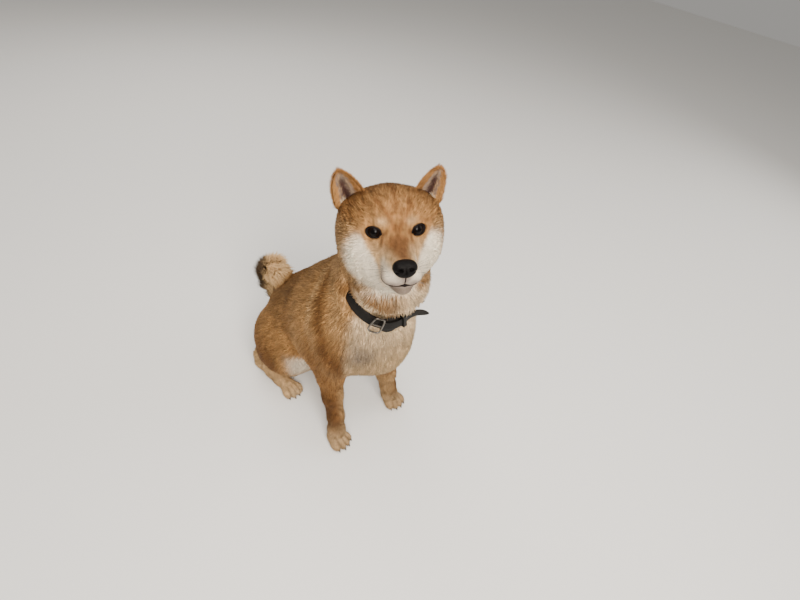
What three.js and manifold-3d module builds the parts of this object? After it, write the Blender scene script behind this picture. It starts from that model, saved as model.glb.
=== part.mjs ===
// A sitting shiba inu with a leather collar, life size, as separate closed solids that meet face to face.
// Millimetres, +Z up. The dog faces -Y and its left side is +X. The floor is z = 0.
import * as THREE from 'three';
import { mergeVertices } from 'three/addons/utils/BufferGeometryUtils.js';
import Module from 'manifold-3d';

const wasm = await Module();
wasm.setup();

// Driving dimensions
const gap = 0.3; // clearance kept between touching solids
const withersHeight = 382;
const cell = { torso: 28, neck: 22, head: 11.8, thigh: 25 }; // spacing of the surface points

// Trunk, from the rump on the floor up to the withers. Centre, radii, and lean about X in degrees.
const trunk = {
  rump: { at: [-1, 103, 86], size: [94, 77, 90] },
  loin: { at: [-3, 82, 177], size: [88, 84, 98], lean: 22 },
  ribs: { at: [2, 10, 246], size: [88, 92, 105], lean: 30 },
  chest: { at: [22, -72, 252], size: [74, 62, 88], lean: 12, turn: -18 },
  brisket: { at: [27, -85, 211], size: [53, 46, 43], turn: -18 },
  withers: { at: [14, -17, withersHeight - 72], size: [60, 60, 58] },
};
const shoulders = [
  { at: [-40, -28, 256], size: [46, 58, 80], lean: 8 },
  { at: [66, -60, 256], size: [46, 58, 80], lean: 8 },
];
const neckLine = [
  { at: [19, -46, 326], radius: 75 },
  { at: [20, -88, 402], radius: 72 },
  { at: [11, -94, 455], radius: 64 },
];

// Limbs. Each leg is a line of centres with a radius across and a radius fore and aft.
const foreleg = {
  right: {
    line: [
      [-50, -50, 196], [-53, -58, 160], [-59, -76, 112],
      [-63, -94, 66], [-67, -103, 34], [-69, -108, 18],
    ],
    paw: { at: [-71, -113], turn: 10 },
  },
  left: {
    line: [[50, -88, 196], [53, -92, 160], [60, -98, 112], [69, -101, 66], [75, -104, 34], [79, -106, 18]],
    paw: { at: [82, -110], turn: -6 },
  },
  across: [29, 25, 20.5, 17.5, 17, 17],
  foreAft: [34, 28, 21.5, 18, 18, 18],
};
// Where the foreleg parts from the trunk, and how far the cut stands off it.
const legTop = { height: 168, spare: 9 };
const wristCut = 44;
const hindleg = {
  hip: { at: [64, 92, 114], size: [52, 74, 76], lean: -14 },
  knee: [64, 40, 150],
  kneeRadius: 29,
  hock: [88, 128, 56],
  line: [[86, 106, 82], [92, 130, 56], [93, 134, 27], [89, 102, 18], [86, 76, 16], [83, 56, 15]],
  across: [20, 20, 18, 16, 15, 15],
  foreAft: [22, 21, 19, 15.5, 15, 14],
  paw: { at: [81, 48], turn: -4 },
};
const paw = {
  front: { length: 56, width: 44, height: 27 },
  hind: { length: 56, width: 42, height: 25 },
};
const clawRadius = 2.4;

// The part of each thigh that is a piece of its own lies inside this ellipsoid.
const thighReach = { at: [102, 74, 94], size: [74, 104, 104] };

// Tail: a curl that rises behind the rump and falls back toward the dog's right.
const tail = {
  line: [
    [-6, 144, 134], [-12, 174, 154], [-19, 191, 186], [-26, 189, 220],
    [-31, 170, 245], [-34, 145, 253], [-34, 124, 245],
  ],
  core: [20, 19, 19, 19, 18, 15, 7],
  brush: [24, 29, 34, 36, 36, 31, 26],
  locks: { count: 44, from: 0.12, width: 18, thickness: 5.5, lift: 31, seed: 11 },
};

// Locks of longer coat. Turn 0 faces -Y and grows toward +X, levels are heights,
// and lie is the way that the hair falls.
const ruff = {
  chest: {
    centre: [20, -52],
    turns: [-66, 66, 6],
    levels: [316, 252, 3],
    lie: [0, -0.1, -1],
    length: 54,
    width: 27,
    thickness: 8,
    lift: 5,
    seed: 3,
  },
  rump: {
    centre: [0, 80],
    turns: [140, 220, 3],
    levels: [104, 60, 3],
    lie: [0, 0.3, -1],
    length: 46,
    width: 25,
    thickness: 8,
    lift: 6,
    seed: 5,
  },
};
const cheekLocks = {
  turns: [66, 124, 3],
  levels: [0, -46, 3],
  lie: [0, 0.8, -0.7],
  length: 32,
  width: 19,
  thickness: 6,
  lift: 4,
  seed: 7,
};

// Head pose: yaw turns it to the dog's right, pitch lifts the nose, roll tips it.
const headPose = { at: [10.5, -97.6, 497], yaw: -32.5, pitch: 19, roll: -4 };
const skull = {
  brain: { at: [0, 6, 11], size: [63, 55, 56] },
  brow: { at: [0, -18, 27], size: [45, 28, 32] },
  cheek: { at: [41, -2, -18], size: [34, 42, 39] },
  temple: { at: [40, 2, 15], size: [30, 37, 37] },
  flew: { at: [13, -77, -31], size: [14, 20, 13], turn: 14 },
  jaw: { at: [0, -16, -46], size: [38, 52, 26] },
};
const muzzle = { root: [0, -40, -22], end: [0, -88, -20], rootRadius: 28, endRadius: 19 };
const lowerJaw = { root: [0, -36, -42], end: [0, -86, -43], rootRadius: 25, endRadius: 13.5 };
const mouth = {
  line: [[0, -106, -30], [3, -105, -36], [12, -98, -40], [20, -86, -40], [25, -74, -35]],
  cut: 1.5,
  lip: 2,
};
const lidWidth = 1.8;
const eye = { at: [27.2, -38.6, 15.2], radius: 10.6, width: 18, height: 12, slant: 9 };
const nose = { at: [0, -100, -14], width: 33, height: 24, depth: 20 };
const ear = { root: [52, 2, 38], tip: [69, -3, 88], width: 50, cup: 13, skin: 5, sunk: 12 };

// Collar: a strap round the neck, lower in front.
const collar = {
  at: [28, -76, 371],
  across: 62,
  foreAft: 70,
  slope: 40,
  width: 20,
  thickness: 4,
  parting: { front: 26, back: 7 },
  steps: 34,
  flare: 50, // the lower edge stands out over the chest by this angle in front
};

const fittings = {
  pad: { from: 34, to: 2, height: 29, thickness: 2.2 },
  tongue: { from: 30, leaves: -12, free: 40, width: 15, thickness: 2.8, lift: 16, drop: 16 },
  buckle: { at: 40, halfTurn: 8, halfHigh: 13.5, wire: 1.7, prong: 1.3 },
  keeper: { at: -6, turn: 3, thickness: 1.8 },
  ring: { at: -44, halfHigh: 8, reach: 21, wire: 1.5 },
};

// Colours and materials
const matte = (color, roughness = 0.9) => new THREE.MeshStandardMaterial({ color, roughness, metalness: 0 });
const steel = (color, roughness) => new THREE.MeshStandardMaterial({ color, roughness, metalness: 1 });
const redCoat = matte(0xb57c45);
const creamCoat = matte(0xd9c3a0);
const eyeDark = matte(0x120c08, 0.08);
const noseDark = matte(0x161314, 0.45);
const clawDark = matte(0x2a211c, 0.5);
const leather = matte(0x1d1815, 0.55);
const nickel = steel(0xb9b6ae, 0.28);

const rad = THREE.MathUtils.degToRad;

// Distance fields. Each returns a function of (x, y, z) that is negative inside.
function ball({ at, size, lean = 0, turn = 0, tip = 0 }) {
  const m = new THREE.Matrix4()
    .makeRotationFromEuler(new THREE.Euler(rad(lean), rad(tip), rad(turn), 'ZYX'))
    .setPosition(...at)
    .invert().elements;
  const [a, b, c] = size;
  return (x, y, z) => {
    const u = m[0] * x + m[4] * y + m[8] * z + m[12];
    const v = m[1] * x + m[5] * y + m[9] * z + m[13];
    const w = m[2] * x + m[6] * y + m[10] * z + m[14];
    const near = Math.hypot(u / a, v / b, w / c);
    const steep = Math.hypot(u / (a * a), v / (b * b), w / (c * c));
    return steep < 1e-9 ? -Math.min(a, b, c) : (near * (near - 1)) / steep;
  };
}

function taper(from, to, fromRadius, toRadius) {
  const [ax, ay, az] = from;
  const [bx, by, bz] = [to[0] - ax, to[1] - ay, to[2] - az];
  const length2 = bx * bx + by * by + bz * bz;
  return (x, y, z) => {
    const [px, py, pz] = [x - ax, y - ay, z - az];
    const t = Math.min(1, Math.max(0, (px * bx + py * by + pz * bz) / length2));
    return Math.hypot(px - t * bx, py - t * by, pz - t * bz) - (fromRadius + (toRadius - fromRadius) * t);
  };
}

// Rounded union of two distances, over the width k.
function soft(a, b, k) {
  const h = Math.max(k - Math.abs(a - b), 0);
  return Math.min(a, b) - (h * h) / (4 * k);
}

function blend(k, ...fields) {
  return (x, y, z) => fields.reduce((d, f) => soft(d, f(x, y, z), k), 1e6);
}

// Where the surface would touch itself across a corner of the grid, the nearer outer corner is taken in.
function closeCorners(value, [nx, ny, nz], spacing) {
  const stride = [1, nx, nx * ny];
  let changed = true;
  while (changed) {
    changed = false;
    for (let k = 1; k < nz - 2; k++)
      for (let j = 1; j < ny - 2; j++)
        for (let i = 1; i < nx - 2; i++) {
          const here = i + nx * (j + ny * k);
          for (let axis = 0; axis < 3; axis++) {
            const [u, w] = [stride[(axis + 1) % 3], stride[(axis + 2) % 3]];
            const ring = [here, here + u, here + u + w, here + w];
            const inner = ring.map((c) => value[c] < 0);
            if (inner[0] !== inner[2] || inner[1] !== inner[3] || inner[0] === inner[1]) continue;
            const outer = ring.filter((c) => value[c] >= 0).sort((a, b) => value[a] - value[b]);
            value[outer[0]] = -0.05 * spacing;
            changed = true;
          }
        }
  }
}

// The surface where a field is zero, as a closed mesh of quads, one vertex in each cell
// that the surface crosses.
function skinOf(field, low, high, spacing) {
  const count = low.map((v, i) => Math.ceil((high[i] - v) / spacing) + 1);
  const [nx, ny, nz] = count;
  const at = (i, j, k) => i + nx * (j + ny * k);
  const value = new Float64Array(nx * ny * nz);
  for (let k = 0; k < nz; k++)
    for (let j = 0; j < ny; j++)
      for (let i = 0; i < nx; i++) {
        const edge = i === 0 || j === 0 || k === 0 || i === nx - 1 || j === ny - 1 || k === nz - 1;
        const d = field(low[0] + i * spacing, low[1] + j * spacing, low[2] + k * spacing);
        value[at(i, j, k)] = edge ? Math.max(d, 0.05 * spacing) : d;
      }
  closeCorners(value, count, spacing);
  const corner = [0, 1, nx, nx + 1, nx * ny, nx * ny + 1, nx * ny + nx, nx * ny + nx + 1];
  const edges = [];
  for (let a = 0; a < 8; a++)
    for (const bit of [1, 2, 4]) if (!(a & bit)) edges.push([a, a | bit]);
  const vertexOf = new Int32Array(value.length).fill(-1);
  const positions = [];
  for (let k = 0; k < nz - 1; k++)
    for (let j = 0; j < ny - 1; j++)
      for (let i = 0; i < nx - 1; i++) {
        const base = at(i, j, k);
        const sum = [0, 0, 0];
        let crossings = 0;
        for (const [a, b] of edges) {
          const va = value[base + corner[a]];
          const vb = value[base + corner[b]];
          if (va < 0 === vb < 0) continue;
          const t = va / (va - vb);
          for (let axis = 0; axis < 3; axis++) {
            const pa = (a >> axis) & 1;
            const pb = (b >> axis) & 1;
            sum[axis] += pa + t * (pb - pa);
          }
          crossings++;
        }
        if (!crossings) continue;
        vertexOf[base] = positions.length / 3;
        [i, j, k].forEach((n, axis) => positions.push(low[axis] + spacing * (n + sum[axis] / crossings)));
      }
  // Two steps of Newton's method settle each vertex on the true surface.
  for (let v = 0; v < positions.length; v += 3)
    for (let step = 0; step < 2; step++) {
      const [x, y, z] = positions.slice(v, v + 3);
      const e = 0.05 * spacing;
      const d = field(x, y, z);
      const g = [field(x + e, y, z) - d, field(x, y + e, z) - d, field(x, y, z + e) - d].map((n) => n / e);
      const g2 = Math.max(g[0] * g[0] + g[1] * g[1] + g[2] * g[2], 0.3);
      for (let axis = 0; axis < 3; axis++)
        positions[v + axis] -= THREE.MathUtils.clamp((d * g[axis]) / g2, -0.3 * spacing, 0.3 * spacing);
    }
  const index = [];
  const stride = [1, nx, nx * ny];
  for (let k = 0; k < nz - 1; k++)
    for (let j = 0; j < ny - 1; j++)
      for (let i = 0; i < nx - 1; i++)
        for (let axis = 0; axis < 3; axis++) {
          if ([i, j, k].some((n, m) => m !== axis && n === 0)) continue;
          const here = at(i, j, k);
          const inside = value[here] < 0;
          if (inside === value[here + stride[axis]] < 0) continue;
          const [u, w] = [stride[(axis + 1) % 3], stride[(axis + 2) % 3]];
          const quad = [here, here - u, here - u - w, here - w].map((c) => vertexOf[c]);
          if (!inside) quad.reverse();
          index.push(quad[0], quad[1], quad[2], quad[0], quad[2], quad[3]);
        }
  const geometry = new THREE.BufferGeometry();
  geometry.setAttribute('position', new THREE.Float32BufferAttribute(positions, 3));
  geometry.setIndex(index);
  return geometry;
}

// A closed solid from rings of points, each ring with the same count. Round rings close
// with a point in the middle.
// Thin curved ones, whose last point is at one rim, close with a strip from side to side.
function loft(rings, thin = false) {
  const n = rings[0].length;
  const middle = (ring) => ring.reduce((s, p) => s.map((v, i) => v + p[i] / n), [0, 0, 0]);
  const points = [...rings.flat(), middle(rings[0]), middle(rings.at(-1))];
  const index = [];
  for (let r = 0; r < rings.length - 1; r++)
    for (let i = 0; i < n; i++) {
      const [a, b] = [r * n + i, r * n + ((i + 1) % n)];
      index.push(a, b, b + n, a, b + n, a + n);
    }
  const last = (rings.length - 1) * n;
  for (let i = 0; i < n && !thin; i++) {
    index.push(points.length - 2, (i + 1) % n, i);
    index.push(points.length - 1, last + i, last + ((i + 1) % n));
  }
  const close = (a, b, c) => index.push(a, c, b, last + a, last + b, last + c);
  for (let i = -1; i < n / 2 - 1 && thin; i++) {
    const [a, b, c, d] = [(i + n) % n, i + 1, n - 3 - i, n - 2 - i];
    if (i < n / 2 - 2) close(a, b, c);
    if (i >= 0) close(a, c, d);
  }
  if (thin) points.length -= 2;
  const geometry = new THREE.BufferGeometry();
  geometry.setAttribute('position', new THREE.Float32BufferAttribute(points.flat(), 3));
  geometry.setIndex(index);
  return geometry;
}

// A ring of rings, closed on itself, as for a strap or a wire loop.
function hoop(rings) {
  const n = rings[0].length;
  const m = rings.length;
  const index = [];
  for (let r = 0; r < m; r++)
    for (let i = 0; i < n; i++) {
      const [a, b] = [r * n + i, r * n + ((i + 1) % n)];
      const [c, d] = [((r + 1) % m) * n + i, ((r + 1) % m) * n + ((i + 1) % n)];
      index.push(a, b, d, a, d, c);
    }
  const geometry = new THREE.BufferGeometry();
  geometry.setAttribute('position', new THREE.Float32BufferAttribute(rings.flat(2), 3));
  geometry.setIndex(index);
  return geometry;
}

const add = (a, b, s = 1) => a.map((v, i) => v + s * b[i]);
const sub = (a, b) => a.map((v, i) => v - b[i]);
const cross = (a, b) => [a[1] * b[2] - a[2] * b[1], a[2] * b[0] - a[0] * b[2], a[0] * b[1] - a[1] * b[0]];
const unit = (a) => a.map((v) => v / Math.hypot(...a));

// Rings round a line of centres. across and upAxis set the two radii at each centre.
function ringsAlong(line, across, upright, sides, side = [1, 0, 0]) {
  return line.map((p, i) => {
    const along = unit(sub(line[Math.min(i + 1, line.length - 1)], line[Math.max(i - 1, 0)]));
    const v = unit(cross(along, side));
    const u = cross(v, along);
    return Array.from({ length: sides }, (_, j) => {
      const a = (2 * Math.PI * (j + 0.5)) / sides;
      return add(add(p, u, across[i] * Math.cos(a)), v, upright[i] * Math.sin(a));
    });
  });
}

function solidOf(geometry) {
  const bare = geometry.index ? geometry.clone() : mergeVertices(geometry.clone());
  for (const name of Object.keys(bare.attributes)) if (name !== 'position') bare.deleteAttribute(name);
  const merged = mergeVertices(bare, 1e-4);
  const build = (index) =>
    new wasm.Manifold(
      new wasm.Mesh({
        numProp: 3,
        vertProperties: merged.attributes.position.array,
        triVerts: new Uint32Array(index),
      }),
    );
  const solid = build(merged.index.array);
  return solid.volume() > 0 ? solid : build([...merged.index.array].reverse());
}

const tubeOf = (line, across, upright, sides, side) =>
  solidOf(loft(ringsAlong(line, across, upright, sides, side)));

function ellipsoid({ at, size, lean = 0, turn = 0, tip = 0 }, around = 12, down = 8, grow = 0) {
  const shape = new THREE.SphereGeometry(1, around, down);
  shape.scale(...size.map((v) => v + grow));
  const turned = new THREE.Euler(rad(lean), rad(tip), rad(turn), 'ZYX');
  shape.applyMatrix4(new THREE.Matrix4().makeRotationFromEuler(turned));
  shape.translate(...at);
  return solidOf(shape);
}

// Everything behind the plane through point with the given outward normal, moved back by the inset.
function behind(point, normal, inset = 0) {
  const size = 1400;
  const shape = new THREE.BoxGeometry(size, size, size);
  shape.translate(0, 0, -size / 2 - inset);
  const up = new THREE.Vector3(0, 0, 1);
  const way = new THREE.Vector3(...unit(normal));
  shape.applyQuaternion(new THREE.Quaternion().setFromUnitVectors(up, way));
  shape.translate(...point);
  return solidOf(shape);
}
const opposite = (n) => n.map((v) => -v);
const floorUp = behind([0, 0, 0], [0, 0, -1]);

function seeded(seed) {
  let state = seed * 7919;
  return () => {
    state = (state * 1664525 + 1013904223) % 4294967296;
    return state / 4294967296;
  };
}

// The point where a line from p along dir leaves a field, and the way the surface faces there.
function leave(field, p, dir) {
  let at = p;
  for (let step = 0; step < 40; step++) at = add(at, dir, THREE.MathUtils.clamp(-field(...at), -3, 3));
  return at;
}
function facing(field, p) {
  const e = 1;
  return unit([0, 1, 2].map((axis) => field(...p.map((v, i) => v + (i === axis ? e : 0))) - field(...p)));
}

// A flat tapered lock. Its root is sunk below the surface, it rises by lift and bends
// back along the lie to a point.
function lockSolid({ root, along, out, length, width, thickness, lift, sway, sunk = 7 }, grow = 0) {
  const side = unit(cross(along, out));
  const rise = Math.sin(rad(lift));
  const centre = (t) => {
    const height = t < 0 ? -sunk - grow : length * (1.25 * rise * t - 0.25 * rise * t * t);
    const ahead = length * Math.max(t, -0.12) * Math.cos(rad(lift));
    return add(add(add(root, along, ahead), out, height), side, sway * t * t);
  };
  const stations = [[-1, 0.7], [0.34, 1], [0.72, 0.64]];
  const rings = stations.map(([t, wide]) => {
    const flat = unit(cross(side, sub(centre(Math.max(t, 0) + 0.1), centre(Math.max(t, 0)))));
    const [w, h] = [(width / 2) * wide + 2 * grow, (thickness / 2) * wide + 1.5 * grow];
    const at = centre(t);
    return [add(at, side, w), add(at, flat, h), add(at, side, -w), add(at, flat, -h)];
  });
  const tip = add(centre(1), unit(sub(centre(1), centre(0.9))), 6 * grow);
  const points = [...rings.flat(), tip];
  const index = [0, 2, 1, 0, 3, 2];
  for (let r = 0; r < rings.length; r++)
    for (let i = 0; i < 4; i++) {
      const [a, b] = [r * 4 + i, r * 4 + ((i + 1) % 4)];
      if (r === rings.length - 1) index.push(a, b, points.length - 1);
      else index.push(a, b, b + 4, a, b + 4, a + 4);
    }
  const geometry = new THREE.BufferGeometry();
  geometry.setAttribute('position', new THREE.Float32BufferAttribute(points.flat(), 3));
  geometry.setIndex(index);
  return solidOf(geometry);
}

// Staggered rows of locks over a field.
function rowsOfLocks(field, set, s = 1) {
  const { centre = [0, 0], turns, levels, lie, length, width, thickness, lift, seed } = set;
  const random = seeded(seed + (s < 0 ? 40 : 0));
  const [top, low, rows] = levels;
  const [first, last, across] = turns;
  const locks = [];
  for (let row = 0; row < rows; row++)
    for (let i = 0; i < across; i++) {
      const share = (i + 0.25 + 0.5 * (row % 2) + 0.3 * (random() - 0.5)) / across;
      const turn = rad(first + (last - first) * share);
      const z = top + ((low - top) * (row + 0.4 * (random() - 0.5))) / (rows - 1);
      const dir = [s * Math.sin(turn), -Math.cos(turn), 0];
      const root = leave(field, add([centre[0], centre[1], z], dir, 20), dir);
      const out = facing(field, root);
      const fall = [s * lie[0], lie[1], lie[2]];
      const along = unit(add(fall, out, -fall.reduce((d, v, n) => d + v * out[n], 0)));
      const reach = length * (0.8 + 0.4 * random());
      const wide = width * (0.8 + 0.4 * random());
      const sway = 8 * (random() - 0.5);
      locks.push({
        root: add(root, out, -2.5),
        along,
        out,
        length: reach,
        width: wide,
        thickness,
        lift: lift * (0.8 + 0.4 * random()),
        sway,
      });
    }
  return locks;
}
const unionOf = (solids) => solids.reduce((whole, solid) => whole.add(solid));

const placed = [];
function addNode(name, solid, material) {
  const pieces = solid.decompose().sort((a, b) => b.volume() - a.volume());
  const mesh = pieces[0].getMesh();
  const geometry = new THREE.BufferGeometry();
  geometry.setAttribute('position', new THREE.Float32BufferAttribute(mesh.vertProperties, 3));
  geometry.setIndex(new THREE.BufferAttribute(mesh.triVerts, 1));
  const node = new THREE.Mesh(geometry, material);
  node.name = name;
  placed.push(node);
}

const mirrored = (shape) => ({
  ...shape,
  at: [-shape.at[0], shape.at[1], shape.at[2]],
  turn: -(shape.turn ?? 0),
  tip: -(shape.tip ?? 0),
});

// Head, in its own frame: the origin is the middle of the skull and the nose points to -Y.
const headFrame = new THREE.Matrix4()
  .makeRotationZ(rad(headPose.yaw))
  .multiply(new THREE.Matrix4().makeRotationX(rad(-headPose.pitch)))
  .multiply(new THREE.Matrix4().makeRotationY(rad(headPose.roll)))
  .setPosition(...headPose.at);
const fromHead = headFrame.clone().invert();
const inHead = (solid) => solid.transform(headFrame.elements);
const headField = blend(
  20,
  blend(
    24,
    ball(skull.brain),
    ball(skull.brow),
    ball(skull.jaw),
    ball(skull.cheek),
    ball(mirrored(skull.cheek)),
    ball(skull.temple),
    ball(mirrored(skull.temple)),
  ),
  blend(
    9,
    taper(muzzle.root, muzzle.end, muzzle.rootRadius, muzzle.endRadius),
    taper(lowerJaw.root, lowerJaw.end, lowerJaw.rootRadius, lowerJaw.endRadius),
    ball(skull.flew),
    ball(mirrored(skull.flew)),
  ),
);

// Body
const shoulderField = blend(
  40,
  ...shoulders.map(ball),
  ...['right', 'left'].map((side) => {
    const [top, low] = foreleg[side].line;
    return taper([top[0], top[1] + 6, top[2] + 10], low, 34, 26);
  }),
);
const thighFields = [1, -1].map((s) => {
  const hip = s > 0 ? hindleg.hip : mirrored(hindleg.hip);
  const at = (p) => [s * p[0], p[1], p[2]];
  return blend(
    26,
    ball(hip),
    taper(at([66, 76, 112]), at(hindleg.knee), 46, hindleg.kneeRadius),
    taper(at(hindleg.knee), at(hindleg.hock), 27, 18),
  );
});
const neckField = blend(
  20,
  ...neckLine.slice(1).map((step, i) => taper(neckLine[i].at, step.at, neckLine[i].radius, step.radius)),
);
const trunkField = blend(44, ...Object.values(trunk).map(ball), shoulderField);

// The strap's own frame: angle 0 is at the throat and grows toward the dog's right.
const slope = rad(collar.slope);
const strapForward = [0, -Math.cos(slope), -Math.sin(slope)];
const strapUp = [0, -Math.sin(slope), Math.cos(slope)];
function strapPoint(angle, out, up) {
  const a = rad(angle);
  const aside = add(collar.at, [1, 0, 0], -collar.across * Math.sin(a));
  const centre = add(aside, strapForward, collar.foreAft * Math.cos(a));
  const level = unit(add([-Math.sin(a) / collar.across, 0, 0], strapForward, Math.cos(a) / collar.foreAft));
  const flare = rad(collar.flare) * (0.5 + 0.5 * Math.cos(a));
  const outward = add(level.map((v) => v * Math.cos(flare)), strapUp, Math.sin(flare));
  const edge = add(strapUp.map((v) => v * Math.cos(flare)), level, -Math.sin(flare));
  return add(add(centre, outward, out), edge, up);
}
const bodyField = (x, y, z) => {
  const front = soft(trunkField(x, y, z), neckField(x, y, z), 30);
  const thighs = soft(thighFields[0](x, y, z), thighFields[1](x, y, z), 10);
  const whole = soft(front, thighs, 30);
  return whole;
};
const wholeField = (x, y, z) => {
  const m = fromHead.elements;
  const u = m[0] * x + m[4] * y + m[8] * z + m[12];
  const v = m[1] * x + m[5] * y + m[9] * z + m[13];
  const w = m[2] * x + m[6] * y + m[10] * z + m[14];
  return soft(bodyField(x, y, z), headField(u, v, w), 18);
};

// Cutting planes between head and neck, and between neck and torso
const nape = { point: [11, -84, 452], normal: unit([-0.06, -0.42, 0.9]) };
const collarPlane = { point: collar.at, normal: strapUp };

const strapRing = (grow) =>
  Array.from({ length: collar.steps }, (_, i) => {
    const a = (-360 * i) / collar.steps;
    const [t, w] = [collar.thickness / 2 + grow, collar.width / 2 + grow];
    return [[-t, -w], [t, -w + 1], [t, w - 1], [-t, w]].map(([out, up]) => strapPoint(a, out, up));
  });
const strap = solidOf(hoop(strapRing(0)));

// The coat parts above and below the strap in a groove that opens outward.
const { thickness, width, parting } = collar;
const groove = solidOf(
  hoop(
    Array.from({ length: collar.steps }, (_, i) => {
      const a = (-360 * i) / collar.steps;
      const open = parting.back + (parting.front - parting.back) * (0.5 + 0.5 * Math.cos(rad(a))) ** 1.5;
      const [low, high] = [-width / 2 - gap, width / 2 + gap];
      const inner = -thickness / 2 - gap;
      const corners = [[inner, low], [60, low - open], [60, high + open], [inner, high]];
      return corners.map(([out, up]) => strapPoint(a, out, up));
    }),
  ),
);

// Collar fittings. Layers of leather lie on the strap, each clear of the one below.
function layer({ from, to }, inner, outer, wide, count, grow = 0) {
  const rings = Array.from({ length: count }, (_, i) => {
    const t = i / (count - 1);
    const half = wide(t) / 2 + grow;
    const a = from + grow + (to - from - 2 * grow) * t;
    const corners = [[inner, -half], [outer + grow, -half], [outer + grow, half], [inner, half]];
    return corners.map(([out, up]) => strapPoint(a, out, up));
  });
  return solidOf(loft(rings));
}
const padIn = thickness / 2 + gap;
const padOut = padIn + fittings.pad.thickness;
const tongueIn = padOut + gap;
const tongueOut = tongueIn + fittings.tongue.thickness;
const oval = (t) => fittings.pad.height * Math.sqrt(Math.max(0.08, 1 - (2 * t - 1) ** 2));
const pad = (grow) => layer(fittings.pad, padIn - 3 * grow, padOut, oval, 11, grow);

// The tongue follows the strap, then leaves it in a straight line with a pointed end.
function tongue(grow) {
  const { from, leaves, free, lift, drop, width: wide } = fittings.tongue;
  const start = strapPoint(leaves, 0, 0);
  const onward = unit(sub(strapPoint(leaves - 2, 0, 0), start));
  const away = unit(sub(strapPoint(leaves, 1, 0), start));
  const bends = 9;
  const steps = Array.from({ length: bends + 1 }, (_, i) => [from + grow + ((leaves - from) * i) / bends, 0]);
  for (const part of [0.25, 0.5, 0.75, 1]) steps.push([leaves, free * part + (part === 1 ? grow : 0)]);
  return solidOf(
    loft(
      steps.map(([a, ahead]) => {
        const half = (wide / 2) * (ahead >= free ? 0.45 : 1) + grow;
        const bent = (ahead / free) ** 2;
        const outer = tongueOut + grow;
        const corners = [[tongueIn, -half], [outer, -half], [outer, half], [tongueIn, half]];
        return corners.map(([out, up]) =>
          add(add(strapPoint(a, out, up - drop * bent), onward, ahead), away, lift * bent),
        );
      }),
    ),
  );
}

// A closed loop of wire through points given as strap angle, out and up.
function wire(path, radius, sides = 6) {
  const points = path.map(([a, out, up]) => strapPoint(a, out, up));
  const n = points.length;
  const middle = points.reduce((m, p) => add(m, p, 1 / n), [0, 0, 0]);
  return solidOf(
    hoop(
      points.map((p, i) => {
        const along = unit(sub(points[(i + 1) % n], points[(i + n - 1) % n]));
        const rise = unit(cross(along, sub(p, middle)));
        const flat = cross(rise, along);
        return Array.from({ length: sides }, (_, j) => {
          const b = (2 * Math.PI * j) / sides;
          return add(add(p, flat, radius * Math.cos(b)), rise, radius * Math.sin(b));
        });
      }),
    ),
  );
}
const roundBox = ({ at, halfTurn, halfHigh }, out, count = 16) =>
  Array.from({ length: count }, (_, i) => {
    const t = (2 * Math.PI * i) / count;
    const square = (v) => Math.sign(v) * Math.abs(v) ** 0.45;
    return [at + halfTurn * square(Math.cos(t)), out, halfHigh * square(Math.sin(t))];
  });
const buckleOut = tongueOut + gap + fittings.buckle.wire;
const buckle = (grow) => wire(roundBox(fittings.buckle, buckleOut), fittings.buckle.wire + grow);
const prong = (grow) => {
  const { at, halfTurn, prong: thick } = fittings.buckle;
  const ends = [at + halfTurn - 2.2, at, at - halfTurn + 2.2];
  const line = ends.map((a) => strapPoint(a, buckleOut - 0.1, 0));
  const radii = line.map(() => thick + grow);
  return tubeOf(line, radii, radii, 6, [0, 0, 1]);
};
const keeper = (grow) => {
  const { at, turn, thickness: thick } = fittings.keeper;
  const inside = { out: tongueOut + gap, in: -thickness / 2 - gap, half: width / 2 + gap };
  const ring = (a) =>
    [
      [inside.in - thick - grow, -inside.half - thick - grow],
      [inside.out + thick + grow, -inside.half - thick - grow],
      [inside.out + thick + grow, inside.half + thick + grow],
      [inside.in - thick - grow, inside.half + thick + grow],
    ].map(([out, up]) => strapPoint(a, out, up));
  const hole = (a) =>
    [
      [inside.in, -inside.half],
      [inside.out, -inside.half],
      [inside.out, inside.half],
      [inside.in, inside.half],
    ].map(([out, up]) => strapPoint(a, out, up));
  const block = solidOf(loft([ring(at + turn + grow), ring(at), ring(at - turn - grow)]));
  if (grow > 0) return block;
  return block.subtract(solidOf(loft([hole(at + 2 * turn), hole(at), hole(at - 2 * turn)])));
};
const ringPath = ({ at, halfHigh, reach, wire: thick }) => {
  const foot = thickness / 2 + gap + thick;
  const bow = Array.from({ length: 9 }, (_, i) => {
    const t = (Math.PI * (i - 4)) / 8;
    return [at, foot + (reach - foot) * Math.cos(t), halfHigh * Math.sin(t)];
  });
  return [...bow, [at, foot, halfHigh / 2], [at, foot, 0], [at, foot, -halfHigh / 2]];
};
const dRing = (grow) => wire(ringPath(fittings.ring), fittings.ring.wire + grow);
const fitted = {
  collar_pad: [pad, leather],
  collar_tongue: [tongue, leather],
  collar_keeper: [keeper, leather],
  collar_buckle: [buckle, nickel],
  collar_prong: [prong, nickel],
  collar_ring: [dRing, nickel],
};
const fittingRoom = Object.values(fitted).reduce((room, [shape]) => room.add(shape(gap)), groove);

// Thighs, hind legs and feet
const thighEnds = [1, -1].map((s) => {
  const reach = s > 0 ? thighReach : mirrored(thighReach);
  return { own: ellipsoid(reach, 18, 12), room: ellipsoid(reach, 18, 12, gap + 0.2) };
});

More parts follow.
